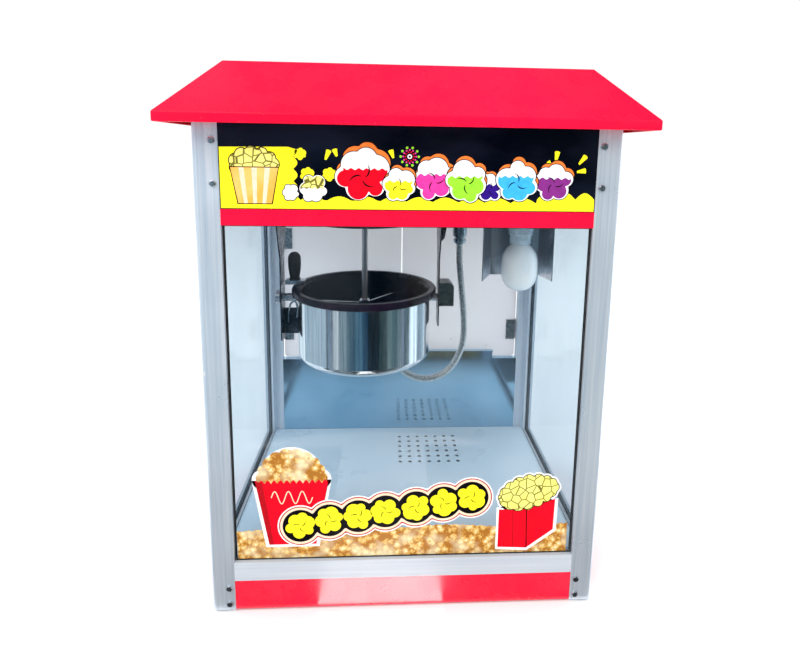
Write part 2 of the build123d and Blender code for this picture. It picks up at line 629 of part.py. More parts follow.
def heating_element():
    """Sheathed ring heater clamped under the pan, with its two terminal pins."""
    ring_r = 66
    ring = Pos(0, 0, PAN_FLOOR - 9) * Torus(ring_r, 5)
    for turn in (-6, 6):
        pin = upright(2.5, ring_r, 0, PAN_FLOOR - 28, PAN_FLOOR - 9)
        ring += Rot(0, 0, turn) * pin
    return about_kettle(ring)


def kettle_trunnions():
    """Two turned stub axles with weld pads, one each side of the shell."""
    y, z = KETTLE_Y, PIVOT_Z
    shell = upright(SHELL_R, KETTLE_X, KETTLE_Y, SHELL_BOTTOM, RIM_BOTTOM)
    left = rod(TRUNNION_R, (KETTLE_X - 90, y, z), (HANGER_LEFT_X - 8, y, z))
    left += rod(11, (HANGER_LEFT_X - 9, y, z), (HANGER_LEFT_X - 3, y, z))
    right = rod(TRUNNION_R, (KETTLE_X + 90, y, z), (HANGER_RIGHT_X + 22, y, z))
    return left - shell, right - shell


def handle_arm():
    """Flat bar on the kettle's rim that carries the grip."""
    x_out, x_in = HANGER_LEFT_X + 3.5, KETTLE_X - 92
    return block(x_out, x_in, GRIP_Y - 8, GRIP_Y + 8, RIM_TOP, RIM_TOP + ARM_T)


def handle_grip():
    """Upright moulded grip with a domed end, pushed onto a stud on the arm."""
    z0 = RIM_TOP + ARM_T
    grip = upright(10, 0, 0, z0, z0 + 44)
    grip = fillet(grip.faces().sort_by(Axis.Z)[-1].edges(), 8)
    return Pos(GRIP_X, GRIP_Y, 0) * grip


def stirrer_shaft():
    """Upright rod from the hub to just under the drive's output shaft."""
    return upright(SHAFT_R, KETTLE_X, KETTLE_Y, PAN_FLOOR + 4, SHAFT_TOP)


def stirrer_blades():
    """Hub on the foot of the shaft with three bent wires that sweep the pan."""
    hub = upright(9, 0, 0, PAN_FLOOR + 2, PAN_FLOOR + 25)
    hub = chamfer(hub.faces().sort_by(Axis.Z)[-1].edges(), 2)
    z_high, z_low = PAN_FLOOR + 19, PAN_FLOOR + 4
    bend = (BLADE_REACH, 0, z_high)
    wire = rod(WIRE_R, (5, 0, z_high), bend) + rod(WIRE_R, bend, (BLADE_REACH, 0, z_low))
    wire += Pos(*bend) * Sphere(WIRE_R)
    for turn in (52, 172, 292):
        hub += Rot(0, 0, turn) * wire
    return about_kettle(hub - upright(SHAFT_R, 0, 0, PAN_FLOOR, PAN_FLOOR + 30))


def kettle_parts():
    save("kettle_shell", kettle_shell())
    save("kettle_pan", kettle_pan())
    save("heating_element", heating_element())
    save("kettle_trunnions", *kettle_trunnions())
    save("handle_arm", handle_arm())
    save("handle_grip", handle_grip())
    save("stirrer_shaft", stirrer_shaft())
    save("stirrer_blades", stirrer_blades())


# ---- armoured lead to the kettle -----------------------------------------------------------------
def hose_connector():
    """Screwed connector under the head: hexagon nut, cap and lower ring."""
    z = HOSE_START_Z
    nut = extrude(Plane.XY.offset(HEAD_BOTTOM - 8) * RegularPolygon(12, 6), 8)
    cap = upright(11, 0, 0, z + 12, HEAD_BOTTOM - 8)
    ring = upright(10, 0, 0, z + 2, z + 7)
    neck = upright(8, 0, 0, z, z + 14) + upright(6.3, 0, 0, HEAD_BOTTOM - 1, HEAD_BOTTOM + 10)
    body = nut + cap + ring + neck
    return Pos(HOSE_X, HOSE_Y, 0) * (body - upright(4.5, 0, 0, z - 1, HEAD_BOTTOM + 11))


HOSE_ROUTE = [
    (HOSE_X, HOSE_Y, HOSE_START_Z), (HOSE_X, HOSE_Y, FOOT + 426), (90.5, 30, FOOT + 390),
    (95, 29, FOOT + 350), (98, 28, FOOT + 316), (97, 26, FOOT + 286), (87, 22, FOOT + 259),
    (70, 18, FOOT + 239), (47, 14, FOOT + 230), (26, 10, FOOT + 232), (8, 7, FOOT + 240),
    (KETTLE_GLAND[0], KETTLE_GLAND[1], FOOT + 254), (KETTLE_GLAND[0], KETTLE_GLAND[1], FOOT + 271),
]


def kettle_gland():
    """Brass gland under the kettle that takes the lower end of the lead."""
    z = SHELL_BOTTOM
    x, y = KETTLE_GLAND
    gland = upright(6, x, y, z - 6, z + 6)
    gland += extrude(Plane((x, y, z - 6)) * RegularPolygon(9, 6), 6)
    return gland - upright(4.5, x, y, z - 8, z + 8)


def lead_parts():
    save("hose_connector", hose_connector())
    save("heater_hose", tube(HOSE_ROUTE, HOSE_R))
    save("kettle_gland", kettle_gland())


# ---- doors -------------------------------------------------------------------------------------------
def door_panel():
    """Right door: acrylic sheet with rounded corners."""
    sheet = block(DOOR_GAP, DOOR_EDGE, HALF_D - GLASS, HALF_D, DOOR_BOTTOM, DOOR_TOP)
    return fillet(sheet.edges().filter_by(Axis.Y), 6)


def leaf_plate(x0, x1, screw_x, z0, z1):
    """Flat leaf on the back of the cabinet, with its two screw heads."""
    face = HALF_D + 0.05
    leaf = block(x0, x1, face, face + LEAF_T, z0, z1)
    for z in (z0 + 6, z1 - 6):
        leaf += rod(2.6, (screw_x, face + LEAF_T, z), (screw_x, face + 2 * LEAF_T, z))
    return leaf


def door_leaf(level):
    """Right-hand leaf on the door: the middle knuckle turns on the pin."""
    z0, z1 = level - HINGE_H / 2, level + HINGE_H / 2
    knuckle_z0, knuckle_z1 = z0 + HINGE_H / 3 + LEAF_PLAY, z1 - HINGE_H / 3 - LEAF_PLAY
    leaf = leaf_plate(201, HINGE_X - LEAF_PLAY, 208, z0, z1)
    for cut0, cut1 in ((z0 - 1, knuckle_z0), (knuckle_z1, z1 + 1)):
        leaf -= block(HINGE_X - KNUCKLE_R - 0.4, HINGE_X + 5, HALF_D - 1, HALF_D + 3, cut0, cut1)
    leaf += upright(KNUCKLE_R, HINGE_X, HINGE_Y, knuckle_z0, knuckle_z1)
    return leaf - upright(PIN_R + RUNNING, HINGE_X, HINGE_Y, z0 - 1, z1 + 1)


def backing_plate(level):
    """Plate on the inner face of the right door that the hinge's screws are nutted to."""
    z0, z1 = level - HINGE_H / 2, level + HINGE_H / 2
    face = HALF_D - GLASS
    plate = block(201, 217, face - LEAF_T, face, z0, z1)
    for z in (z0 + 6, z1 - 6):
        plate += rod(2.6, (208, face - LEAF_T, z), (208, face - 2 * LEAF_T, z))
    return plate


def post_leaf(level):
    """Right-hand leaf on the post: two outer knuckles and the pin."""
    z0, z1 = level - HINGE_H / 2, level + HINGE_H / 2
    low, high = z0 + HINGE_H / 3, z1 - HINGE_H / 3
    leaf = leaf_plate(HINGE_X + LEAF_PLAY, 240, 234, z0, z1)
    leaf -= block(HINGE_X - 5, HINGE_X + KNUCKLE_R + 0.4, HALF_D - 1, HALF_D + 3, low, high)
    leaf += upright(KNUCKLE_R, HINGE_X, HINGE_Y, z0, low)
    leaf += upright(KNUCKLE_R, HINGE_X, HINGE_Y, high, z1)
    return leaf + upright(PIN_R, HINGE_X, HINGE_Y, z0 + 1, z1 - 1)


def door_knob():
    """Turned knob on a short stem near the free edge of the right door."""
    x, z, y0 = 16.0, FOOT + 352.0, HALF_D
    knob = rod(5, (x, y0, z), (x, y0 + 8, z)) + rod(9, (x, y0 + 8, z), (x, y0 + 20, z))
    return fillet(knob.faces().sort_by(Axis.Y)[-1].edges(), 3)


def door_parts():
    door, knob = door_panel(), door_knob()
    door_leaves = [leaf(level) for leaf in (door_leaf, backing_plate) for level in HINGE_LEVELS]
    post_leaves = [post_leaf(level) for level in HINGE_LEVELS]
    save("right_door", door)
    save("left_door", mirrored(door))
    save("right_door_hinges", *door_leaves)
    save("left_door_hinges", *[mirrored(leaf) for leaf in door_leaves])
    save("post_hinges", *post_leaves, *[mirrored(leaf) for leaf in post_leaves])
    save("right_door_knob", knob)
    save("left_door_knob", mirrored(knob))


os.makedirs("parts", exist_ok=True)
frame_parts()
base_parts()
head_parts()
lamp_parts()
hanger_parts()
kettle_parts()
lead_parts()
door_parts()
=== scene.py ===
import math

import bmesh
import bpy
from mathutils import Matrix, Vector
from mathutils.geometry import tessellate_polygon


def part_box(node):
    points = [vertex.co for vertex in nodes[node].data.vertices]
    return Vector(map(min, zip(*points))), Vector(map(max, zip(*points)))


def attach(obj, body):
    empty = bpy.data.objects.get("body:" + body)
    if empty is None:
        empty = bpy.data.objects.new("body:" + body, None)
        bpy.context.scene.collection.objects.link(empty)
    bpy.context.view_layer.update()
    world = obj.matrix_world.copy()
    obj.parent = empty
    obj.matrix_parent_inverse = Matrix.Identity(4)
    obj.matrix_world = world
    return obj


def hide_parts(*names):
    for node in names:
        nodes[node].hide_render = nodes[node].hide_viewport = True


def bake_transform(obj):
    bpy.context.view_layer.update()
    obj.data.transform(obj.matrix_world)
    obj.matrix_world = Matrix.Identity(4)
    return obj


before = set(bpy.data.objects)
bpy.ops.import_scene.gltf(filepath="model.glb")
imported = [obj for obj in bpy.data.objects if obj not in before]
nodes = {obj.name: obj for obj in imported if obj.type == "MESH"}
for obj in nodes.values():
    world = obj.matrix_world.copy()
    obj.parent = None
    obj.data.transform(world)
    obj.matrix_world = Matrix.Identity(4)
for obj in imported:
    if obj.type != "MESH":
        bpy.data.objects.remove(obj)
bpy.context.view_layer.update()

MM = 0.001

sign_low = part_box("sign_panel")[0]
front_pane_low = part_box("front_glass")[0]
kettle_low, kettle_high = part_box("kettle_pan")
KETTLE = (kettle_low + kettle_high) / 2
OPENING_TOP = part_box("front_head_rail")[0].z      # top edge of the glazed opening
OPENING_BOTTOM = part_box("front_sill")[1].z        # bottom edge of the glazed opening


# ---- camera ------------------------------------------
def make_camera():
    """Stands in front of the cabinet, a little left, looking slightly down and right."""
    yaw, pitch, roll = -0.056, 0.154, 0.016
    focal_length, sensor_width = 24.487, 36
    place = (-0.0273, -0.8154, 0.5961)
    ahead = Vector((-math.sin(yaw) * math.cos(pitch),
                    math.cos(yaw) * math.cos(pitch),
                    -math.sin(pitch)))
    level_right = Vector((math.cos(yaw), math.sin(yaw), 0))
    level_up = level_right.cross(ahead)
    right = math.cos(roll) * level_right + math.sin(roll) * level_up
    up = math.cos(roll) * level_up - math.sin(roll) * level_right
    data = bpy.data.cameras.new("camera")
    data.sensor_width, data.lens = sensor_width, focal_length
    data.shift_x, data.shift_y = -0.0218, -0.1125
    camera = bpy.data.objects.new("camera", data)
    camera.matrix_world = Matrix((right, up, -ahead)).transposed().to_4x4()
    camera.location = place
    bpy.context.scene.collection.objects.link(camera)
    bpy.context.scene.camera = camera


make_camera()


# ---- material kit ------------------------------------
def material(name, colour, roughness, metallic=0.0, **sockets):
    """A Principled material; further sockets are given by name, with _ for a space."""
    made = bpy.data.materials.new(name)
    made.use_nodes = True
    shader = made.node_tree.nodes["Principled BSDF"]
    shader.inputs["Base Color"].default_value = (*colour, 1)
    shader.inputs["Roughness"].default_value = roughness
    shader.inputs["Metallic"].default_value = metallic
    for socket, value in sockets.items():
        shader.inputs[socket.replace("_", " ")].default_value = value
    return made


def shader_of(made):
    """The material's Principled shader."""
    return made.node_tree.nodes["Principled BSDF"]


def pattern(made, kind, scale, stretch=(1, 1, 1), **settings):
    """A texture laid out in the frame's own metres; gives its value output."""
    tree = made.node_tree
    place = tree.nodes.new("ShaderNodeTexCoord")
    mapping = tree.nodes.new("ShaderNodeMapping")
    mapping.inputs["Scale"].default_value = stretch
    texture = tree.nodes.new(f"ShaderNodeTex{kind}")
    texture.inputs["Scale"].default_value = scale
    for socket, value in settings.items():
        texture.inputs[socket].default_value = value
    tree.links.new(place.outputs["Object"], mapping.inputs["Vector"])
    tree.links.new(mapping.outputs["Vector"], texture.inputs["Vector"])
    return texture.outputs[0]


def paint(made, value, stops):
    """Base colour from a value, through colour stops of (position, colour)."""
    tree = made.node_tree
    ramp = tree.nodes.new("ShaderNodeValToRGB")
    elements = ramp.color_ramp.elements
    while len(elements) < len(stops):
        elements.new(0.5)
    for element, (position, colour) in zip(elements, stops):
        element.position = position
        element.color = (*colour, 1)
    tree.links.new(value, ramp.inputs["Fac"])
    tree.links.new(ramp.outputs["Color"], shader_of(made).inputs["Base Color"])


def fleck(made, value, below, colour, soft=0.02):
    """Lays a colour over the base colour where a value is low."""
    tree = made.node_tree
    base = shader_of(made).inputs["Base Color"]
    mask = tree.nodes.new("ShaderNodeMapRange")
    mask.inputs["From Min"].default_value = below
    mask.inputs["From Max"].default_value = below + soft
    mask.inputs["To Min"].default_value = 1.0
    mask.inputs["To Max"].default_value = 0.0
    mix = tree.nodes.new("ShaderNodeMix")
    mix.data_type = "RGBA"
    under, over = [socket for socket in mix.inputs if socket.type == "RGBA"]
    mixed = next(socket for socket in mix.outputs if socket.type == "RGBA")
    over.default_value = (*colour, 1)
    under.default_value = base.default_value
    if base.is_linked:
        tree.links.new(base.links[0].from_socket, under)
    tree.links.new(value, mask.inputs["Value"])
    tree.links.new(mask.outputs["Result"], mix.inputs["Factor"])
    tree.links.new(mixed, base)


def vary(made, value, low, high):
    """Varies the roughness between two limits with a value around its middle."""
    tree = made.node_tree
    spread = tree.nodes.new("ShaderNodeMapRange")
    spread.inputs["From Min"].default_value = 0.3
    spread.inputs["From Max"].default_value = 0.7
    spread.inputs["To Min"].default_value = low
    spread.inputs["To Max"].default_value = high
    tree.links.new(value, spread.inputs["Value"])
    tree.links.new(spread.outputs["Result"], shader_of(made).inputs["Roughness"])


def relief(made, value, depth):
    """Raises the surface by a value, on top of any relief that it already has."""
    tree = made.node_tree
    bump = tree.nodes.new("ShaderNodeBump")
    bump.inputs["Distance"].default_value = depth
    normal = shader_of(made).inputs["Normal"]
    if normal.is_linked:
        tree.links.new(normal.links[0].from_socket, bump.inputs["Normal"])
    tree.links.new(value, bump.inputs["Height"])
    tree.links.new(bump.outputs["Normal"], normal)


# ---- materials ---------------------------------------
def anodised(name, metallic):
    """Pale extrusion with lengthwise die lines, cloudy handling marks and a few white scuffs."""
    made = material(name, (0.7, 0.74, 0.78), 0.4, metallic)
    streaks = pattern(made, "Noise", 7, (40, 40, 0.8), Detail=6)
    paint(made, streaks, [(0.28, (0.58, 0.69, 0.80)), (0.5, (0.71, 0.79, 0.88)),
                          (0.70, (0.82, 0.88, 0.95))])
    scuffs = pattern(made, "Voronoi", 55, (1, 1, 0.35), Randomness=1)
    fleck(made, scuffs, 0.05, (0.95, 0.96, 0.97), 0.03)
    vary(made, pattern(made, "Noise", 14, Detail=5), 0.26, 0.5)
    relief(made, pattern(made, "Noise", 30, (40, 40, 0.6), Detail=3), 0.02 * MM)
    return made


def anodised_level():
    """Matt level extrusion for the sills, darker in tone than the posts."""
    made = material("anodised_level", (0.74, 0.82, 0.88), 0.5, Specular_IOR_Level=0.1)
    streaks = pattern(made, "Noise", 5, (0.9, 0.9, 60), Detail=6)
    paint(made, streaks, [(0.30, (0.42, 0.47, 0.53)), (0.68, (0.51, 0.55, 0.60))])
    vary(made, pattern(made, "Noise", 16, Detail=5), 0.3, 0.5)
    relief(made, pattern(made, "Noise", 30, (0.6, 0.6, 40), Detail=3), 0.02 * MM)
    return made


def red_enamel(name, gloss, smooth, rough):
    """Stove enamel with faint orange peel and dust; roughness runs from smooth to rough."""
    made = material(name, (0.88, 0.003, 0.045), rough, Specular_IOR_Level=gloss)
    clouds = pattern(made, "Noise", 5, Detail=3)
    paint(made, clouds, [(0.3, (0.84, 0.002, 0.030)), (0.7, (0.92, 0.003, 0.046))])
    fleck(made, pattern(made, "Voronoi", 120), 0.03, (0.95, 0.12, 0.17))
    vary(made, pattern(made, "Noise", 30, Detail=6), smooth, rough)
    relief(made, pattern(made, "Noise", 420, Detail=1), 0.012 * MM)
    return made


def sign_black():
    """Gloss print ground, blue-black, with soft scuffing."""
    made = material("sign_black", (0.004, 0.005, 0.012), 0.14, Specular_IOR_Level=0.16)
    clouds = pattern(made, "Noise", 9, (1, 1, 2.5), Detail=5)
    paint(made, clouds, [(0.38, (0.001, 0.002, 0.006)), (0.66, (0.006, 0.008, 0.020))])
    vary(made, pattern(made, "Noise", 22, Detail=5), 0.1, 0.28)
    return made


def ink(name, colour, second=None, grain=160):
    """Screen-printed vinyl: the ink's own mottling under a clear gloss layer."""
    made = material(name, colour, 0.3, Specular_IOR_Level=0.05)
    other = second or tuple(channel * 0.86 for channel in colour)
    paint(made, pattern(made, "Noise", grain, Detail=4), [(0.36, other), (0.58, colour)])
    relief(made, pattern(made, "Noise", 700, Detail=1), 0.01 * MM)
    return made


def corn_print():
    """Photographic-looking popcorn: cream flakes, butter patches, brown gaps and hull specks."""
    made = material("corn_print", (0.9, 0.75, 0.35), 0.35, Specular_IOR_Level=0.1)
    tree = made.node_tree
    flakes = pattern(made, "Voronoi", 120, Randomness=1)
    lobes = pattern(made, "Voronoi", 330, Randomness=1)
    add = tree.nodes.new("ShaderNodeMath")
    add.operation = "MULTIPLY_ADD"
    add.inputs[1].default_value = 0.45
    tree.links.new(lobes, add.inputs[0])
    tree.links.new(flakes, add.inputs[2])
    paint(made, add.outputs[0], [(0.20, (0.90, 0.83, 0.58)), (0.42, (0.76, 0.57, 0.25)),
                                 (0.62, (0.68, 0.40, 0.10)), (0.88, (0.38, 0.15, 0.02))])
    fleck(made, pattern(made, "Noise", 34, Detail=2), 0.24, (0.84, 0.76, 0.50), 0.30)
    fleck(made, pattern(made, "Voronoi", 88, Randomness=1), 0.08, (0.62, 0.28, 0.05), 0.10)
    relief(made, add.outputs[0], 0.05 * MM)
    return made


def cartoon_corn():
    """Pale yellow corn, each flake inside a thin dark outline."""
    made = material("cartoon_corn", (0.84, 0.80, 0.20), 0.35, Specular_IOR_Level=0.1)
    tone = pattern(made, "Noise", 60, Detail=1)
    paint(made, tone, [(0.35, (0.78, 0.74, 0.17)), (0.60, (0.86, 0.82, 0.22))])
    edges = pattern(made, "Voronoi", 95, Randomness=0.75)
    edges.node.feature = "DISTANCE_TO_EDGE"
    fleck(made, edges.node.outputs["Distance"], 0.035, (0.16, 0.14, 0.02), 0.03)
    return made


def clear_glass(name, tint, haze, grazing):
    """Thin pane: clear, under its own reflection and a faint uneven haze."""
    made = material(name, (0.90, 0.95, 0.97), 0.5)
    tree = made.node_tree
    clear = tree.nodes.new("ShaderNodeBsdfTransparent")
    clear.inputs["Color"].default_value = (*tint, 1)
    gloss = tree.nodes.new("ShaderNodeBsdfGlossy")
    gloss.inputs["Roughness"].default_value = 0.02
    slant = tree.nodes.new("ShaderNodeLayerWeight")
    slant.inputs["Blend"].default_value = 0.5
    steep = tree.nodes.new("ShaderNodeMath")
    steep.operation = "POWER"
    steep.inputs[1].default_value = 5
    share = tree.nodes.new("ShaderNodeMath")
    share.operation = "MULTIPLY_ADD"
    share.inputs[1].default_value = grazing
    share.inputs[2].default_value = 0.03
    smears = pattern(made, "Noise", 6, (1, 1, 0.5), Detail=5)
    spread = tree.nodes.new("ShaderNodeMapRange")
    spread.inputs["From Min"].default_value = 0.4
    spread.inputs["From Max"].default_value = 0.8
    spread.inputs["To Max"].default_value = haze
    reflected = tree.nodes.new("ShaderNodeMixShader")
    hazed = tree.nodes.new("ShaderNodeMixShader")
    tree.links.new(slant.outputs["Facing"], steep.inputs[0])
    tree.links.new(steep.outputs[0], share.inputs[0])
    tree.links.new(share.outputs[0], reflected.inputs[0])
    tree.links.new(clear.outputs[0], reflected.inputs[1])
    tree.links.new(gloss.outputs[0], reflected.inputs[2])
    tree.links.new(smears, spread.inputs["Value"])
    tree.links.new(spread.outputs["Result"], hazed.inputs[0])
    tree.links.new(reflected.outputs[0], hazed.inputs[1])
    tree.links.new(shader_of(made).outputs[0], hazed.inputs[2])
    tree.links.new(hazed.outputs[0], tree.nodes["Material Output"].inputs["Surface"])
    return made


def filmed_acrylic():
    """Door sheet under its milky protective film, with faint trapped air."""
    made = material("filmed_acrylic", (0.92, 0.90, 0.94), 0.32, Alpha=0.58)
    clouds = pattern(made, "Noise", 7, (1, 1, 0.6), Detail=4)
    paint(made, clouds, [(0.34, (0.90, 0.87, 0.92)), (0.66, (0.98, 0.96, 0.98))])
    fleck(made, pattern(made, "Voronoi", 26, Randomness=1), 0.04, (0.62, 0.62, 0.70), 0.03)
    relief(made, pattern(made, "Noise", 45, (1, 1, 0.3), Detail=3), 0.06 * MM)
    return made


def brushed(name, dark, light, stretch=(1, 70, 70), rough=(0.22, 0.42)):
    """Steel sheet with fine grinding lines along one direction."""
    made = material(name, light, sum(rough) / 2, 1.0)
    lines = pattern(made, "Noise", 16, stretch, Detail=6)
    paint(made, lines, [(0.32, dark), (0.66, light)])
    vary(made, pattern(made, "Noise", 18, Detail=5), *rough)
    relief(made, pattern(made, "Noise", 60, stretch, Detail=2), 0.012 * MM)
    return made


def floor_sheet():
    """Pale blue-grey film-covered sheet with soft tone changes and fine scratches."""
    made = material("floor_sheet", (0.62, 0.74, 0.83), 0.36, Specular_IOR_Level=0.5)
    clouds = pattern(made, "Noise", 4.5, Detail=4)
    paint(made, clouds, [(0.32, (0.66, 0.81, 0.93)), (0.68, (0.82, 0.92, 0.99))])
    fleck(made, pattern(made, "Noise", 60, (1, 22, 1), Detail=4), 0.30, (0.80, 0.86, 0.90), 0.05)
    vary(made, pattern(made, "Noise", 10, Detail=5), 0.24, 0.42)
    return made


def mirror_sheet():
    """Mirror-finish stainless, slightly wavy, with the blue of the floor painted into its colour as
    a painted reflection.
    """
    made = material("mirror_sheet", (0.38, 0.52, 0.64), 0.08, 1.0)
    clouds = pattern(made, "Noise", 6, Detail=3)
    # The blue base colour is a painted reflection of the blue floor sheet, not a tint of the steel.
    paint(made, clouds, [(0.34, (0.32, 0.54, 0.70)), (0.68, (0.48, 0.68, 0.82))])
    vary(made, pattern(made, "Noise", 20, Detail=6), 0.05, 0.16)
    relief(made, pattern(made, "Noise", 7, Detail=1), 0.25 * MM)
    return made


def polished():
    """Bright pot steel with upright streaks in its colour: partly hair-fine polishing lines, partly
    painted reflection of bright and dark bands.
    """
    made = material("polished", (0.86, 0.88, 0.90), 0.09, 1.0)
    # Upright light and dark streaks: partly polishing lines, partly painted reflection.
    lines = pattern(made, "Noise", 14, (26, 26, 0.5), Detail=5)
    paint(made, lines, [(0.32, (0.62, 0.67, 0.70)), (0.62, (0.92, 0.93, 0.94))])
    vary(made, pattern(made, "Noise", 26, (6, 6, 0.6), Detail=5), 0.05, 0.17)
    relief(made, pattern(made, "Noise", 40, (20, 20, 0.4), Detail=2), 0.012 * MM)
    return made


def nonstick():
    """Plum-black coating with a satin sheen and rub marks."""
    made = material("nonstick", (0.006, 0.003, 0.009), 0.2, Specular_IOR_Level=0.14,
                    Sheen_Weight=0.02, Sheen_Tint=(0.45, 0.25, 0.85, 1))
    clouds = pattern(made, "Noise", 16, Detail=5)
    paint(made, clouds, [(0.36, (0.003, 0.002, 0.005)), (0.68, (0.014, 0.005, 0.016))])
    vary(made, pattern(made, "Noise", 40, Detail=6), 0.14, 0.30)
    relief(made, pattern(made, "Noise", 900, Detail=1), 0.012 * MM)
    return made


def backlit_shade_steel():
    """Bright-rolled hanger plate coloured blue-black as painted shade for its look against the
    light, with grey rub marks.
    """
    made = material("backlit_shade_steel", (0.05, 0.06, 0.08), 0.28, 0.9)
    # Blue-black base colour is painted shade: the bright plate is coloured as it looks against the
    # light.
    paint(made, pattern(made, "Noise", 22, (1, 1, 3), Detail=5),
          [(0.34, (0.035, 0.045, 0.06)), (0.6, (0.10, 0.12, 0.15)), (0.78, (0.28, 0.31, 0.36))])
    vary(made, pattern(made, "Noise", 50, Detail=4), 0.18, 0.4)
    return made


def moulding(name, colour, rough=0.34, grain=500):
    """Moulded plastic, rubber or baked enamel with a fine grain and lighter rubbed patches."""
    made = material(name, colour, rough, Coat_Weight=0.15, Coat_Roughness=0.2)
    lighter = tuple(min(1.0, channel * 1.7 + 0.006) for channel in colour)
    paint(made, pattern(made, "Noise", 60, Detail=5), [(0.36, colour), (0.72, lighter)])
    vary(made, pattern(made, "Noise", 90, Detail=4), rough * 0.75, rough * 1.35)
    relief(made, pattern(made, "Noise", grain, Detail=2), 0.03 * MM)
    return made


def plated(name, dark, light, scale=60):
    """Plated or cast metal with mottled tone."""
    made = material(name, light, 0.3, 1.0)
    paint(made, pattern(made, "Noise", scale, Detail=5), [(0.34, dark), (0.64, light)])
    vary(made, pattern(made, "Noise", scale * 1.7, Detail=4), 0.18, 0.42)
    relief(made, pattern(made, "Noise", scale * 9, Detail=2), 0.015 * MM)
    return made


def opal():
    """White bulb glass with a soft glow inside it."""
    made = material("opal", (0.86, 0.91, 0.94), 0.16, Subsurface_Weight=0.35, Coat_Weight=0.5)
    shader_of(made).inputs["Subsurface Radius"].default_value = (0.02, 0.02, 0.02)
    paint(made, pattern(made, "Noise", 18, Detail=2),
          [(0.35, (0.80, 0.87, 0.92)), (0.65, (0.92, 0.95, 0.96))])
    relief(made, pattern(made, "Noise", 30, Detail=1), 0.04 * MM)
    return made


UPRIGHT = (60, 60, 1)      # stretch of grinding lines that run up the part

aluminium = anodised("anodised", 0.6)
rear_aluminium = anodised("anodised_rear", 0.2)
aluminium_level = anodised_level()
enamel = red_enamel("red_enamel", 0.1, 0.22, 0.34)
skirt_enamel = red_enamel("skirt_enamel", 0.9, 0.22, 0.32)
ground = sign_black()
stainless = brushed("stainless", (0.56, 0.57, 0.61), (0.76, 0.76, 0.80))
reflector_steel = brushed("reflector_steel", (0.62, 0.65, 0.70), (0.86, 0.88, 0.92),
                          UPRIGHT, (0.20, 0.40))
mirror = mirror_sheet()
pan_floor = floor_sheet()
glass = clear_glass("glass", (0.985, 0.996, 0.998), 0.02, 0.6)
side_glass = clear_glass("side_glass", (0.80, 0.87, 0.92), 0.10, 0.35)
acrylic = filmed_acrylic()
pot_steel = polished()
# The shaft's warm pinkish tint is a painted reflection, not a colour of the steel.
shaft_steel_warm_reflection = brushed("shaft_steel_warm_reflection", (0.66, 0.56, 0.54), (0.96, 0.86, 0.84), UPRIGHT, (0.38, 0.52))
coating = nonstick()
hanger_steel = backlit_shade_steel()
black = moulding("black_moulding", (0.010, 0.010, 0.013))
teal_black = moulding("bearing_moulding", (0.008, 0.022, 0.026), 0.26, 300)
rubber = moulding("rubber", (0.012, 0.012, 0.012), 0.6, 800)
holder = moulding("lamp_holder", (0.26, 0.34, 0.40), 0.32, 350)
rocker_red = moulding("rocker_red", (0.62, 0.02, 0.012), 0.2, 300)
ceramic = moulding("ceramic", (0.72, 0.70, 0.62), 0.3, 300)
zinc = plated("zinc", (0.42, 0.44, 0.47), (0.78, 0.80, 0.83))
hinge_metal = plated("hinge_metal", (0.26, 0.29, 0.31), (0.54, 0.57, 0.60), 260)
brass = plated("brass", (0.45, 0.30, 0.10), (0.78, 0.60, 0.28), 90)
motor_metal = plated("motor_metal", (0.22, 0.23, 0.25), (0.46, 0.48, 0.50), 45)
connector_metal = plated("connector_metal", (0.26, 0.34, 0.40), (0.56, 0.64, 0.70), 70)
armour = plated("armour", (0.66, 0.67, 0.66), (0.82, 0.83, 0.82), 300)
heater_steel = plated("heater_steel", (0.16, 0.12, 0.10), (0.40, 0.34, 0.28), 80)
shield_black = moulding("shield_enamel", (0.010, 0.004, 0.012), 0.22, 600)
bulb_glass = opal()

FINISHES = {
    aluminium: ["corner_post_front_left", "corner_post_front_right"],
    rear_aluminium: ["corner_post_rear_left", "corner_post_rear_right"],
    aluminium_level: ["front_sill", "side_sills"],
    enamel: ["front_head_rail", "side_head_rails", "top_plate", "roof"],
    skirt_enamel: ["front_skirt", "side_skirts", "rear_skirt"],
    ground: ["sign_panel", "side_head_panels"],
    stainless: ["base_plate", "crumb_drawer", "control_panel", "head_floor"],
    reflector_steel: ["lamp_reflector"],
    mirror: ["rear_lower_panel"],
    pan_floor: ["floor_pan"],
    glass: ["front_glass"],
    side_glass: ["left_glass", "right_glass"],
    acrylic: ["right_door", "left_door"],
    pot_steel: ["kettle_shell", "stirrer_blades", "drive_coupling", "kettle_catch"],
    shaft_steel_warm_reflection: ["stirrer_shaft"],
    coating: ["kettle_pan"],
    hanger_steel: ["hanger_left", "hanger_right"],
    black: ["cord_gland", "switch_housings", "handle_grip", "left_door_knob", "right_door_knob"],
    teal_black: ["bearing_block"],
    rubber: ["rubber_feet"],
    holder: ["lamp_socket"],
    rocker_red: ["rocker_heat", "rocker_motor", "rocker_lamp"],
    ceramic: ["terminal_block"],
    zinc: ["post_screws", "kettle_trunnions", "handle_arm"],
    hinge_metal: ["post_hinges", "right_door_hinges", "left_door_hinges"],
    brass: ["kettle_gland"],
    motor_metal: ["gearmotor"],
    connector_metal: ["hose_connector"],
    armour: ["heater_hose"],
    heater_steel: ["heating_element"],
    shield_black: ["heat_shield"],
    bulb_glass: ["lamp_bulb"],
}
for finish, names in FINISHES.items():
    for name in names:
        nodes[name].data.materials.clear()
        nodes[name].data.materials.append(finish)


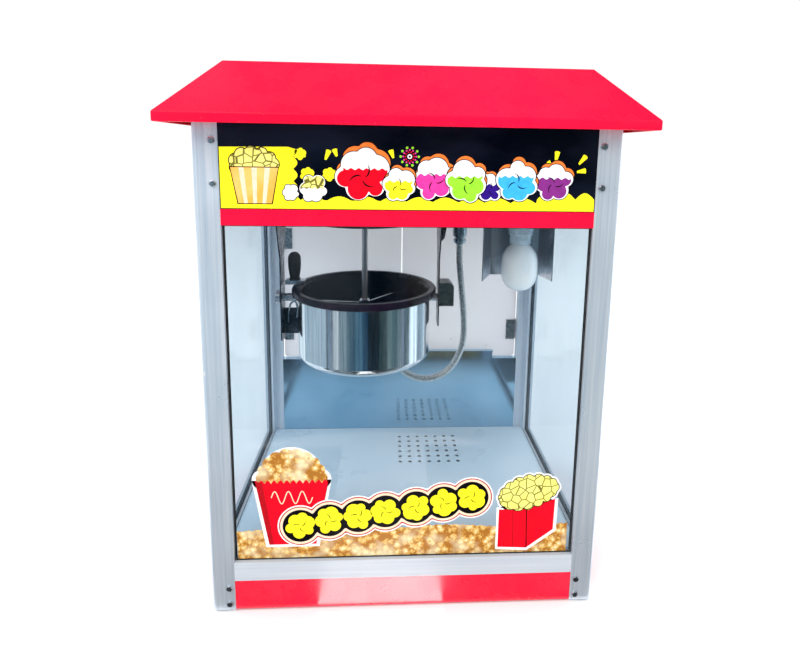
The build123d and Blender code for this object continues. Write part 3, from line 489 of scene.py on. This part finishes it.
# ---- mesh kit ----------------------------------------
def piece(name, mesh, finishes, body, replaced=(), smooth=True):
    """Puts a bmesh into the scene as a piece that rides on a body."""
    bmesh.ops.recalc_face_normals(mesh, faces=mesh.faces)
    data = bpy.data.meshes.new(name)
    mesh.to_mesh(data)
    mesh.free()
    for finish in finishes:
        data.materials.append(finish)
    if smooth:
        data.polygons.foreach_set("use_smooth", [True] * len(data.polygons))
        data.set_sharp_from_angle(angle=math.radians(38))
    made = bpy.data.objects.new(name, data)
    bpy.context.scene.collection.objects.link(made)
    if replaced:
        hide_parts(*replaced)
    if body:
        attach(made, body)
    return made


def lathe(outline, centre, around=64, flute=None):
    """Closed turned solid from an (r, z) outline that starts and ends on the axis."""
    mesh = bmesh.new()
    rings = []
    for r, z in outline:
        if r == 0:
            rings.append([mesh.verts.new((centre[0], centre[1], z))])
            continue
        ring = []
        for i in range(around):
            turn = 2 * math.pi * i / around
            reach = r * (flute(turn) if flute else 1)
            ring.append(mesh.verts.new((centre[0] + reach * math.cos(turn),
                                        centre[1] + reach * math.sin(turn), z)))
        rings.append(ring)
    for low, high in zip(rings, rings[1:]):
        for i in range(around):
            j = (i + 1) % around
            corners = [low[i % len(low)], low[j % len(low)],
                       high[j % len(high)], high[i % len(high)]]
            mesh.faces.new(list(dict.fromkeys(corners)))
    return mesh


def bar(mesh, low, high):
    """Adds a closed box between two corners to a mesh."""
    low, high = Vector(low), Vector(high)
    for vert in bmesh.ops.create_cube(mesh, size=1)["verts"]:
        vert.co = Vector((low[k] + (vert.co[k] + 0.5) * (high[k] - low[k]) for k in range(3)))


# ---- armoured hose -----------------------------------
HOSE_ROUTE = [(0.087, 0.030, 0.452), (0.087, 0.030, 0.429), (0.0905, 0.030, 0.393),
              (0.095, 0.029, 0.353), (0.098, 0.028, 0.319), (0.097, 0.026, 0.289),
              (0.087, 0.022, 0.262), (0.070, 0.018, 0.242), (0.047, 0.014, 0.233),
              (0.026, 0.010, 0.235), (0.008, 0.007, 0.243), (-0.008, 0.005, 0.257),
              (-0.008, 0.005, 0.274)]
HOSE_RADIUS = 0.0055
HOSE_PITCH = 0.0032        # from one turn of the strip to the next


def smooth_line(route):
    """Points of the route's NURBS spline, close together."""
    data = bpy.data.curves.new("route", "CURVE")
    data.dimensions = "3D"
    spline = data.splines.new("NURBS")
    spline.points.add(len(route) - 1)
    for point, place in zip(spline.points, route):
        point.co = (*place, 1)
    spline.order_u = 3
    spline.use_endpoint_u = True
    data.resolution_u = 24
    curve = bpy.data.objects.new("route", data)
    line = bpy.data.meshes.new_from_object(curve)
    points = [v.co.copy() for v in line.vertices]
    bpy.data.objects.remove(curve)
    bpy.data.curves.remove(data)
    bpy.data.meshes.remove(line)
    return points


def along(points, step):
    """Points a step apart along a line, each with the line's direction."""
    placed, travelled, target = [], 0.0, 0.0
    for a, b in zip(points, points[1:]):
        length = (b - a).length
        while target <= travelled + length and length > 0:
            placed.append((a.lerp(b, (target - travelled) / length), (b - a).normalized()))
            target += step
        travelled += length
    return placed


def armoured_hose():
    """Interlocked steel strip: raised turns with narrow grooves between them."""
    route = smooth_line(HOSE_ROUTE)
    turn_profile = (0.88, 1.0, 1.0, 0.88)
    stations = along(route, HOSE_PITCH / len(turn_profile))
    around = 20
    mesh = bmesh.new()
    side = Vector((1, 0, 0))
    rings = []
    for number, (place, heading) in enumerate(stations):
        side = (side - heading * side.dot(heading)).normalized()
        other = heading.cross(side)
        reach = HOSE_RADIUS * turn_profile[number % len(turn_profile)]
        rings.append([mesh.verts.new(place + reach * (math.cos(a) * side + math.sin(a) * other))
                      for a in (2 * math.pi * k / around for k in range(around))])
    for low, high in zip(rings, rings[1:]):
        for k in range(around):
            mesh.faces.new((low[k], low[(k + 1) % around], high[(k + 1) % around], high[k]))
    mesh.faces.new(rings[0])
    mesh.faces.new(rings[-1])
    hose = piece("heater_hose_armoured", mesh, [armour], None, ["heater_hose"])
    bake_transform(hose)


armoured_hose()


# ---- roof --------------------------------------------
def roof_skin():
    """Folded sheet: turned-under lip, upright edge, four slopes, flat top, softened folds."""
    low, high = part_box("roof")
    lip = 11 * MM
    run = 60 * MM
    fold_under = 5 * MM
    fold_radius = 1.3 * MM
    sheet = 1.0 * MM
    cx, cy = (low.x + high.x) / 2, (low.y + high.y) / 2
    half_w, half_d = (high.x - low.x) / 2, (high.y - low.y) / 2
    mesh = bmesh.new()
    levels = [(fold_under, low.z), (0, low.z), (0, low.z + lip), (run, high.z)]
    rings = []
    for inset, z in levels:
        w, d = half_w - inset, half_d - inset
        corners = ((-w, -d), (w, -d), (w, d), (-w, d))
        rings.append([mesh.verts.new((cx + x, cy + y, z)) for x, y in corners])
    for lower, upper in zip(rings, rings[1:]):
        for k in range(4):
            mesh.faces.new((lower[k], lower[(k + 1) % 4], upper[(k + 1) % 4], upper[k]))
    mesh.faces.new(rings[-1])
    folds = [e for e in mesh.edges if len(e.link_faces) == 2]
    bmesh.ops.bevel(mesh, geom=folds, offset=fold_radius, segments=3, profile=0.6,
                     affect="EDGES")
    made = piece("roof_folded", mesh, [enamel], "root", ["roof"])
    skin = made.modifiers.new("sheet", "SOLIDIFY")
    skin.thickness = sheet
    skin.offset = -1


roof_skin()


# ---- printed art -------------------------------------
YELLOW = ink("ink_yellow", (0.95, 0.90, 0.02), (0.90, 0.80, 0.02))
ORANGE = ink("ink_orange", (0.90, 0.22, 0.04))
WARM = ink("ink_warm", (0.93, 0.42, 0.07), (0.95, 0.60, 0.20), 22)
WHITE = ink("ink_white", (0.90, 0.90, 0.92))
CREAM = ink("ink_cream", (0.95, 0.72, 0.52))
BLACK = ink("ink_black", (0.004, 0.004, 0.006))
RED = ink("ink_red", (0.80, 0.002, 0.014), (0.70, 0.002, 0.018), 40)
DEEP_RED = ink("ink_deep_red", (0.45, 0.005, 0.012))
PINK = ink("ink_pink", (0.90, 0.05, 0.36))
GREEN = ink("ink_green", (0.32, 0.78, 0.04))
INDIGO = ink("ink_indigo", (0.03, 0.008, 0.22))
BLUE = ink("ink_blue", (0.05, 0.45, 0.92))
PURPLE = ink("ink_purple", (0.24, 0.03, 0.24))
CORN = corn_print()
CARTOON_CORN = cartoon_corn()
INKS = [YELLOW, ORANGE, WARM, WHITE, CREAM, BLACK, RED, DEEP_RED, PINK, GREEN, INDIGO, BLUE,
        PURPLE, CORN, CARTOON_CORN]
LAYER = 0.05 * MM          # from one film's face to the next
FILM = 0.7                 # a film's thickness, as a share of a layer


class Print:
    """Layers of thin printed film on a flat panel, laid out in millimetres across and up."""

    def __init__(self, name, across, outwards, origin):
        self.name = name
        self.across = Vector(across)
        self.outwards = Vector(outwards)
        self.origin = Vector(origin)
        self.mesh = bmesh.new()

    def shape(self, loop, layer, film):
        """One closed piece of film inside an outline, on a numbered layer."""
        front, back = [], []
        for s, z in loop:
            foot = self.origin + self.across * s * MM + Vector((0, 0, z * MM))
            back.append(self.mesh.verts.new(foot + self.outwards * (layer - FILM) * LAYER))
            front.append(self.mesh.verts.new(foot + self.outwards * layer * LAYER))
        count = len(loop)
        faces = []
        for triangle in tessellate_polygon([[Vector((s, z, 0)) for s, z in loop]]):
            faces.append(self.mesh.faces.new([front[k] for k in triangle]))
            faces.append(self.mesh.faces.new([back[k] for k in reversed(triangle)]))
        for k in range(count):
            after = (k + 1) % count
            faces.append(self.mesh.faces.new((front[k], front[after], back[after], back[k])))
        for face in faces:
            face.material_index = INKS.index(film)

    def finish(self):
        """Makes the layers one piece on the cabinet."""
        return piece(self.name, self.mesh, INKS, "root", smooth=False)


def puff(x, z, lobes, grow=0.0, steps=84):
    """Outline of overlapping round lobes (dx, dz, radius) round a centre."""
    loop = []
    for k in range(steps):
        turn = 2 * math.pi * k / steps
        ux, uz = math.cos(turn), math.sin(turn)
        reach = 0.0
        for dx, dz, radius in lobes:
            radius += grow
            off_line = dx * uz - dz * ux
            if abs(off_line) < radius:
                half_chord = math.sqrt(radius * radius - off_line * off_line)
                reach = max(reach, dx * ux + dz * uz + half_chord)
        loop.append((x + ux * reach, z + uz * reach))
    return loop


def heap(x, z, wide, tall, bump, grow=0.0, lean=0.0):
    """Outline of a heap of round flakes: small bumps round an ellipse, leaning to the right."""
    lobes = [(0, 0, tall)]
    count = round(math.pi * (wide + tall) / (1.4 * bump))
    for k in range(count):
        turn = 2 * math.pi * k / count
        dx = wide * math.cos(turn)
        lobes.append((dx, tall * math.sin(turn) + lean * dx, bump * (1 + 0.12 * math.sin(5.3 * k))))
    return puff(x, z, lobes, grow, 210)


def kernel(size, lean=0.0):
    """Uneven lobes of one popped kernel of a given half size."""
    lobes = [(0, 0, size * 0.56)]
    shares = ((0.48, 0.52), (0.36, 0.62), (0.44, 0.50), (0.34, 0.66), (0.42, 0.50), (0.30, 0.64))
    for k, (share, out) in enumerate(shares):
        turn = lean + 2 * math.pi * (k + 0.18 * math.sin(7.1 * (k + lean))) / len(shares)
        lobes.append((out * size * math.cos(turn), out * size * math.sin(turn), share * size))
    return lobes


def creases(art, x, z, size, layer, lean):
    """Three short curved folds that meet near the middle of a kernel."""
    for k in range(3):
        turn = lean + 2.2 * k
        loop_out, loop_back = [], []
        for i in range(9):
            t = i / 8
            bend = turn + 0.9 * t
            reach = size * (0.10 + 0.42 * t)
            wide = size * 0.035 * math.sin(math.pi * (0.1 + 0.8 * t))
            px, pz = x + reach * math.cos(bend), z + reach * math.sin(bend)
            nx, nz = -math.sin(bend), math.cos(bend)
            loop_out.append((px + nx * wide, pz + nz * wide))
            loop_back.append((px - nx * wide, pz - nz * wide))
        art.shape(loop_out + loop_back[::-1], layer, BLACK)


def below(loop, level, wave=1.2, length=9.0):
    """The part of an outline under a wavy line."""
    return [(x, min(z, level + wave * math.sin(2 * math.pi * x / length))) for x, z in loop]


def chain(centres, radius):
    """Outline of a row of overlapping discs."""
    first, last = centres[0][0] - radius, centres[-1][0] + radius
    count = 150
    top, bottom = [], []
    for k in range(count + 1):
        x = first + (last - first) * (0.5 - 0.5 * math.cos(math.pi * k / count))
        reaches = [(cz, math.sqrt(max(0.0, radius * radius - (x - cx) ** 2))) for cx, cz in centres
                   if abs(x - cx) <= radius + 1e-6]
        top.append((x, max(cz + r for cz, r in reaches)))
        bottom.append((x, min(cz - r for cz, r in reaches)))
    return bottom + top[-2:0:-1]


def disc(x, z, radius, steps=24):
    """Outline of one round dot."""
    return puff(x, z, [(0, 0, radius)], steps=steps)


def fancy_puff(art, x, z, size, film, layer, lean=0.3):
    """Popped kernel in one colour with a white top, black edge and an orange echo behind it."""
    lobes = kernel(size, lean)
    art.shape(puff(x + 1.5, z + 0.22 * size, lobes, 2.0), layer, BLACK)
    art.shape(puff(x + 1.5, z + 0.22 * size, lobes, 0.9), layer + 1, ORANGE)
    art.shape(puff(x, z, lobes, 2.4), layer + 2, BLACK)
    art.shape(puff(x, z, lobes, 1.5), layer + 3, WHITE)
    inner = puff(x, z - 0.06 * size, lobes, -0.9)
    art.shape(below(inner, z + 0.22 * size), layer + 4, film)
    creases(art, x, z - 0.1 * size, size, layer + 5, lean)


def plain_puff(art, x, z, size, film, layer, lean=0.9):
    """White popped kernel with a black edge and its upper half in another film."""
    lobes = kernel(size, lean)
    art.shape(puff(x, z, lobes, 0.9), layer, BLACK)
    art.shape(puff(x, z, lobes), layer + 1, WHITE)
    upper = [(px, max(pz, z + 0.8 * math.sin(px))) for px, pz in puff(x, z, lobes, -0.8)]
    art.shape(upper, layer + 2, film)


def wedge(art, x, z, turn, length, layer):
    """Rounded accent, wider at its far end."""
    ux, uz = math.cos(turn), math.sin(turn)
    loop = []
    corner = length * 0.92
    for s, t in ((0, -1.2), (corner, -3.2), (length, -1.5), (length, 1.5), (corner, 3.2), (0, 1.2)):
        loop.append((x + s * ux - t * uz, z + s * uz + t * ux))
    art.shape(loop, layer, YELLOW)


def scallops(x0, x1, level, height, width):
    """Wavy edge of half-round bumps from x0 to x1."""
    count = max(2, round(abs(x1 - x0) / width) * 8)
    points = []
    for k in range(count + 1):
        x = x0 + (x1 - x0) * k / count
        points.append((x, level + height * abs(math.sin(math.pi * (x - x0) / width))))
    return points


def cup(art, x, foot_z, top_z, foot_half, top_half, layer, paper, stripe):
    """Tapered paper cup with upright stripes and a heap of corn, outlined in black."""
    def slanted(left, right, grow=0.0):
        """Outline of the cup's part between two shares of its half width."""
        return [(x + foot_half * left - grow, foot_z - grow),
                (x + foot_half * right + grow, foot_z - grow),
                (x + top_half * right + grow, top_z + grow),
                (x + top_half * left - grow, top_z + grow)]
    wide, tall, bump = 0.78 * top_half, 0.5 * top_half, 0.26 * top_half
    for grow, film in ((1.1, BLACK), (0.0, CARTOON_CORN)):
        art.shape(heap(x, top_z + 4, wide, tall, bump, grow), layer, film)
        layer += 1
    art.shape(slanted(-1, 1, 1.1), layer, BLACK)
    art.shape(slanted(-1, 1), layer + 1, paper)
    for left in (-0.66, -0.11, 0.44):
        art.shape(slanted(left, left + 0.22), layer + 2, stripe)


def front_sign():
    """Black panel with a yellow drift along the bottom, a cup and a row of coloured kernels."""
    edge = 219.0
    bottom = (sign_low.z / MM) + 1.0
    art = Print("sign_art_front", (1, 0, 0), (0, -1, 0), (0, sign_low.y, 0))
    drift = [(-edge, bottom), (edge, bottom)]
    drift += scallops(edge, 150, 541, 8, 23)
    drift += scallops(149, -128, 536, 6, 31)
    drift += [(x, z) for z, x in scallops(545, 595, -136, 5, 14)]
    drift += [(-141, 598), (-edge, 597)]
    art.shape(drift, 1, YELLOW)
    for x, z, size in ((-128, 590, 7.5), (-120, 567, 8.5), (-95, 567, 8.5)):
        art.shape(puff(x, z, kernel(size, 0.5)), 1, YELLOW)
    accents = ((-99, 584, 1.2, 12), (-86, 588, 1.9, 9), (-21, 587, 1.9, 10), (170, 585, 1.45, 13),
               (166, 580, 2.4, 8), (198, 583, 0.9, 13), (196, 574, 0.15, 11))
    for x, z, turn, length in accents:
        wedge(art, x, z, turn, length, 1)
    ring_x, ring_z = -2, 589
    rings = ((10.5, 10, GREEN, 1.5), (7.6, 12, PINK, 1.0), (5.2, 10, RED, 0.9))
    for ring, count, film, size in rings:
        for k in range(count):
            turn = 2 * math.pi * k / count
            x, z = ring_x + ring * math.cos(turn), ring_z + ring * math.sin(turn)
            art.shape(disc(x, z, size, 12), 2, film)
    art.shape(disc(ring_x, ring_z, 2.8), 2, WHITE)
    art.shape(disc(ring_x, ring_z, 1.3), 3, BLACK)
    cup(art, -180, 533, 574, 19, 27, 2, WARM, CREAM)
    plain_puff(art, -139, 546, 10, WHITE, 8)
    plain_puff(art, -113, 551, 17, CARTOON_CORN, 9)
    row = [(-56, 567, 31, RED), (-14, 556, 19, YELLOW), (27, 563, 24, PINK), (65, 561, 24, GREEN),
           (92, 554, 16, INDIGO), (125, 562, 24, BLUE), (169, 561, 22, PURPLE)]
    for number, (x, z, size, film) in enumerate(row):
        fancy_puff(art, x, z, size, film, 3 + 8 * (number % 2), 0.3 + 0.5 * number)
    art.finish()


def side_sign(name, side):
    """The same drift and four kernels on a side panel."""
    low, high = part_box("side_head_panels")
    face = high.x if side > 0 else low.x
    art = Print(name, (0, side, 0), (side, 0, 0), (face, 0, 0))
    bottom = (low.z / MM) + 1.0
    edge = 149.0
    art.shape([(-edge, bottom), (edge, bottom)] + scallops(edge, -edge, 540, 8, 22), 1, YELLOW)
    row = ((-95, 23, PINK), (-32, 26, RED), (34, 22, BLUE), (96, 24, GREEN))
    for number, (s, size, film) in enumerate(row):
        fancy_puff(art, s, 563, size, film, 2, 0.3 + 0.7 * number)
    for s, z, turn in ((-64, 584, 1.3), (2, 588, 1.8), (66, 584, 1.2)):
        wedge(art, s, z, turn, 11, 1)
    art.finish()


def squiggle(x0, x1, level, height, waves, width):
    """A wavy printed line."""
    count = 24 * waves
    upper, lower = [], []
    for k in range(count + 1):
        turn = 2 * math.pi * waves * k / count
        x, z = x0 + (x1 - x0) * k / count, level + height * math.sin(turn)
        slope = height * math.cos(turn) * 2 * math.pi * waves / (x1 - x0)
        long = math.hypot(1, slope)
        upper.append((x - slope / long * width, z + width / long))
        lower.append((x + slope / long * width, z - width / long))
    return upper + lower[::-1]


def window_art():
    """Print on the front pane: popcorn drift, red cup, ribbon of yellow kernels, red box."""
    art = Print("window_art", (1, 0, 0), (0, -1, 0), (0, front_pane_low.y, 0))
    sill = OPENING_BOTTOM / MM + 0.4
    drift = [(-216, sill), (213, sill)]
    for k in range(216):
        x = 213 - 2 * k
        flakes = 1.6 * abs(math.sin(x / 3.7)) + 1.1 * abs(math.sin(x / 2.3 + 1))
        drift.append((x, 110 + 2.5 * math.sin(x / 31) + flakes))
    art.shape(drift, 1, CORN)

    art.shape(puff(-146, 182, [(0, 0, 41), (-36, 0, 14), (36, 0, 14), (0, 4, 40)]), 2, WHITE)
    art.shape([(-180, 87.5), (-112, 87.5), (-96, 181), (-196, 181)], 2, WHITE)
    art.shape(heap(-146, 184, 37, 31, 8.5), 3, CORN)
    foot_left, top_left = (-176, 91), (-192, 180)
    art.shape([foot_left, (-116, 91), (-100, 180)] + scallops(-100, -192, 176, 5, 8), 4, RED)
    art.shape([foot_left, (-170, 91), (-183, 178), top_left], 5, DEEP_RED)
    art.shape(squiggle(-172, -120, 157, 8.5, 3, 0.65), 6, CREAM)

    centres = [(-136, 117), (-99, 124), (-62, 129), (-27, 135), (12, 140), (48, 146), (84, 152)]
    borders = ((29, WHITE), (27.2, DEEP_RED), (25.8, CREAM), (22.6, BLACK))
    for layer, (radius, film) in enumerate(borders):
        art.shape(chain(centres, radius), 7 + layer, film)
    for number, (x, z) in enumerate(centres):
        art.shape(puff(x, z, kernel(19.5, 0.4 + 0.9 * number)), 11, YELLOW)
        creases(art, x, z, 19, 12, 1.1 * number)

    art.shape(heap(159, 158, 33, 17, 7, 3.2, 0.2), 2, WHITE)
    art.shape([(118, 77), (160, 74), (198, 102), (199, 149), (118, 137)], 2, WHITE)
    art.shape([(121, 134), (121, 80), (159, 78), (157, 134)], 3, RED)
    art.shape([(157.8, 134), (159.8, 78.6), (194, 104), (195, 148)], 3, RED)
    art.shape([(139, 134), (140, 134), (141.5, 79), (140.5, 79)], 4, DEEP_RED)
    art.shape([(157, 134), (158.2, 134), (160, 78), (158.8, 78)], 5, BLACK)
    art.shape(heap(159, 158, 33, 17, 7, 1.0, 0.2), 5, BLACK)
    art.shape(heap(159, 158, 33, 17, 7, 0.0, 0.2), 6, CARTOON_CORN)
    art.finish()


front_sign()
side_sign("sign_art_left", -1)
side_sign("sign_art_right", 1)
window_art()


# ---- glazing seals -----------------------------------
def glazing_seals():
    """Dark beads where each pane enters the posts and rails."""
    mesh = bmesh.new()
    bead, proud = 1.6 * MM, 0.8 * MM
    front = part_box("front_glass")
    left_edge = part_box("corner_post_front_left")[1].x
    for side in (-1, 1):
        x = abs(left_edge)
        inner, outer = sorted((side * x, side * (x - bead)))
        for y0, y1 in ((front[0].y - proud, front[0].y), (front[1].y, front[1].y + proud)):
            bar(mesh, (inner, y0, OPENING_BOTTOM), (outer, y1, OPENING_TOP))
    for z0, z1 in ((OPENING_BOTTOM, OPENING_BOTTOM + bead), (OPENING_TOP - bead, OPENING_TOP)):
        bar(mesh, (left_edge + bead, front[0].y - proud, z0),
            (-left_edge - bead, front[0].y, z1))
    bay = abs(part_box("corner_post_front_left")[1].y)
    for node in ("left_glass", "right_glass"):
        low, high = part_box(node)
        for x0, x1 in ((low.x - proud, low.x), (high.x, high.x + proud)):
            for side in (-1, 1):
                y0, y1 = sorted((side * bay, side * (bay - bead)))
                bar(mesh, (x0, y0, OPENING_BOTTOM), (x1, y1, OPENING_TOP))
            bar(mesh, (x0, -bay + bead, OPENING_BOTTOM), (x1, bay - bead, OPENING_BOTTOM + bead))
            bar(mesh, (x0, -bay + bead, OPENING_TOP - bead), (x1, bay - bead, OPENING_TOP))
    bmesh.ops.bevel(mesh, geom=mesh.edges[:], offset=0.25 * MM, segments=2, affect="EDGES")
    piece("glazing_seals", mesh, [rubber], "root")


glazing_seals()


# ---- lamp --------------------------------------------
def lamp():
    """Opal bulb with a shouldered envelope, screwed into a ribbed holder."""
    low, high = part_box("lamp_bulb")
    centre = ((low.x + high.x) / 2, (low.y + high.y) / 2)
    reach = (high.x - low.x) / 2
    tall, belly, neck_r = 76.5 * MM, 38 * MM, 13.2 * MM
    outline = [(0, low.z)]
    for k in range(1, 15):
        rise = 1 - math.cos(math.pi / 2 * k / 14)
        outline.append((reach * (1 - (1 - rise) ** 2.5) ** 0.4, low.z + belly * rise))
    for k in range(1, 13):
        t = k / 12
        shoulder = neck_r + (reach - neck_r) * (1 - t ** 3.2)
        outline.append((shoulder, low.z + belly + t * (tall - belly)))
    outline += [(13.0 * MM, low.z + tall), (12.8 * MM, high.z - 6 * MM)]
    for k in range(5):
        z = high.z - 5.5 * MM + k * 1.0 * MM
        outline.append(((12.9 if k % 2 else 12.2) * MM, z))
    outline += [(9 * MM, high.z), (0, high.z)]
    piece("lamp_bulb_opal", lathe(outline, centre, 72), [bulb_glass], "root",
          ["lamp_bulb"])

    low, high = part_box("lamp_socket")
    outer = (high.x - low.x) / 2
    neck = 17 * MM
    step_z = low.z + 14.5 * MM
    bore = 13.5 * MM
    inside_top = low.z + 32 * MM
    outline = [(0, inside_top), (bore, inside_top), (bore, low.z + 0.6 * MM),
               (bore + 0.6 * MM, low.z), (neck - 0.8 * MM, low.z), (neck, low.z + 0.8 * MM),
               (neck, step_z - 1.2 * MM), (neck + 1 * MM, step_z),
               (outer - 1 * MM, step_z + 0.6 * MM), (outer, step_z + 1.8 * MM)]
    for k in range(6):
        z = step_z + (4 + k * 3.4) * MM
        outline += [(outer, z), (outer - 0.7 * MM, z + 0.6 * MM), (outer, z + 1.2 * MM)]
    outline += [(outer, high.z - 1 * MM), (outer - 1 * MM, high.z), (0, high.z)]
    piece("lamp_holder_ribbed", lathe(outline, centre, 72), [holder], "root",
          ["lamp_socket"])


lamp()


# ---- kettle grip and door knobs ----------------------
def kettle_grip():
    """Moulded grip: collar, slight waist and a domed end."""
    low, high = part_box("handle_grip")
    centre = ((low.x + high.x) / 2, (low.y + high.y) / 2)
    r = (high.x - low.x) / 2
    height = high.z - low.z
    outline = [(0, low.z), (r * 0.82, low.z), (r * 0.86, low.z + 0.4 * MM),
               (r * 0.86, low.z + 3 * MM), (r * 0.74, low.z + 4 * MM), (r * 0.78, low.z + 7 * MM)]
    for k in range(1, 13):
        t = k / 12
        swell = 0.80 + 0.20 * math.sin(math.pi * t * 0.62)
        outline.append((r * swell, low.z + 7 * MM + t * (height - 17 * MM)))
    for k in range(1, 9):
        turn = math.pi / 2 * k / 9
        outline.append((r * 0.985 * math.cos(turn), high.z - 10 * MM + 10 * MM * math.sin(turn)))
    outline.append((0, high.z))
    piece("handle_grip_moulded", lathe(outline, centre, 48), [black], "kettle",
          ["handle_grip"])


def door_knob(node, body):
    """Fluted knob on a short neck, turned about the door's normal."""
    low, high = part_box(node)
    cx, cz = (low.x + high.x) / 2, (low.z + high.z) / 2
    r = (high.x - low.x) / 2
    depth = high.y - low.y
    outline = [(0, 0), (r * 0.6, 0), (r * 0.5, 1.5 * MM), (r * 0.5, depth * 0.36),
               (r * 0.9, depth * 0.42), (r, depth * 0.5), (r, depth * 0.86),
               (r * 0.93, depth * 0.95), (r * 0.8, depth * 0.985), (r * 0.35, depth * 0.95),
               (0, depth * 0.94)]
    flutes, flute_depth = 16, 0.035
    mesh = lathe(outline, (0, 0), 96,
                 lambda turn: 1 - flute_depth * (0.5 + 0.5 * math.cos(flutes * turn)))
    to_door = Matrix(((1, 0, 0, cx), (0, 0, 1, low.y), (0, 1, 0, cz), (0, 0, 0, 1)))
    bmesh.ops.transform(mesh, matrix=to_door, verts=mesh.verts)
    piece(f"{node}_fluted", mesh, [black], body, [node])


kettle_grip()
door_knob("right_door_knob", "door_right")
door_knob("left_door_knob", "door_left")


# ---- floor, light and studio -------------------------
def studio_floor():
    """Wide pale floor."""
    mesh = bmesh.new()
    bmesh.ops.create_grid(mesh, x_segments=8, y_segments=8, size=5)
    data = bpy.data.meshes.new("studio_floor")
    mesh.to_mesh(data)
    mesh.free()
    made = material("studio_floor", (0.97, 0.97, 0.97), 0.8)
    paint(made, pattern(made, "Noise", 3, Detail=3),
          [(0.3, (0.96, 0.96, 0.965)), (0.7, (0.985, 0.985, 0.985))])
    data.materials.append(made)
    floor = bpy.data.objects.new("studio_floor", data)
    bpy.context.scene.collection.objects.link(floor)


def soft_light(name, location, target, size, watts, mirrored=True):
    """Rectangular light aimed at a target; it may be kept out of reflections."""
    data = bpy.data.lights.new(name, "AREA")
    data.shape = "RECTANGLE"
    data.size, data.size_y = size
    data.energy = watts
    light = bpy.data.objects.new(name, data)
    light.location = location
    light.visible_glossy = mirrored
    light.rotation_euler = (Vector(target) - Vector(location)).to_track_quat("-Z", "Y").to_euler()
    bpy.context.scene.collection.objects.link(light)


def reflected_card(name, mesh, shade):
    """A studio card that is seen only in reflections."""
    data = bpy.data.meshes.new(name)
    mesh.to_mesh(data)
    mesh.free()
    made = bpy.data.materials.new(name)
    made.use_nodes = True
    tree = made.node_tree
    glow = tree.nodes.new("ShaderNodeEmission")
    glow.inputs["Color"].default_value = (*shade, 1)
    tree.links.new(glow.outputs[0], tree.nodes["Material Output"].inputs["Surface"])
    data.materials.append(made)
    card = bpy.data.objects.new(name, data)
    card.visible_camera = False
    card.visible_diffuse = False
    card.visible_shadow = False
    card.visible_transmission = False
    bpy.context.scene.collection.objects.link(card)


def curved_card(name, start, end, shade, radius=0.62, height=0.78):
    """Upright card in front of the cabinet between two bearings from the kettle, in degrees."""
    mesh = bmesh.new()
    columns = []
    steps = 10
    for k in range(steps + 1):
        bearing = math.radians(start + (end - start) * k / steps)
        x, y = KETTLE.x + radius * math.sin(bearing), KETTLE.y - radius * math.cos(bearing)
        columns.append((mesh.verts.new((x, y, 0.002)), mesh.verts.new((x, y, height))))
    for (a, b), (c, d) in zip(columns, columns[1:]):
        mesh.faces.new((a, c, d, b))
    reflected_card(name, mesh, shade)


def level_card(name, x0, x1, y0, y1, z, shade):
    """Flat card at one height."""
    mesh = bmesh.new()
    mesh.faces.new([mesh.verts.new((x, y, z)) for x, y in ((x0, y0), (x1, y0), (x1, y1), (x0, y1))])
    reflected_card(name, mesh, shade)


def studio():
    """White surround, pale floor, three soft lights, and cards for bright metal to mirror."""
    scene = bpy.context.scene
    scene.view_settings.view_transform = "Standard"
    scene.world = bpy.data.worlds.new("studio")
    scene.world.use_nodes = True
    background = scene.world.node_tree.nodes["Background"]
    background.inputs["Color"].default_value = (1, 1, 1, 1)
    background.inputs["Strength"].default_value = 1.04
    studio_floor()
    soft_light("key", (-1.3, -1.6, 2.0), (0, 0, 0.3), (1.6, 1.2), 26)
    soft_light("fill", (1.6, -1.2, 1.3), (0, 0, 0.3), (1.4, 1.4), 9)
    soft_light("top", (0, 0.2, 2.6), (0, 0, 0), (2.4, 2.0), 22, False)
    bearings = (-112, -97, -60, -52, -38, -25, -12, 0, 7, 25, 38, 45, 65, 79, 97, 107, 118)
    shades = ((0.60, 0.70, 0.76), (0.64, 0.72, 0.78), (0.07, 0.11, 0.15), (0.56, 0.63, 0.70),
              (0.19, 0.27, 0.32), (0.06, 0.12, 0.17), (0.07, 0.16, 0.24), (0.02, 0.06, 0.12),
              (0.002, 0.004, 0.006), (0.025, 0.05, 0.05), (0.15, 0.23, 0.24), (0.07, 0.13, 0.15),
              (0.11, 0.17, 0.19), (1.7, 1.75, 1.8), (0.36, 0.43, 0.48), (0.62, 0.72, 0.80))
    for start, end, shade in zip(bearings, bearings[1:], shades):
        curved_card(f"card_{start}_{end}".replace("-", "m"), start, end, shade)
    back, low = -0.185, 0.001
    glare_left, glare_right = -0.115, 0.05
    dark = (0.03, 0.03, 0.035)
    level_card("floor_card_left", -0.6, glare_left, -0.56, back, low, dark)
    level_card("floor_card_right", glare_right, 0.6, -0.56, back, low, dark)
    level_card("floor_card_glare", glare_left, glare_right, -0.27, back, low, (8.5, 8.2, 8.0))
    level_card("ceiling_card", -0.42, 1.2, -0.6, 1.2, 1.3, (0.03, 0.03, 0.04))


studio()
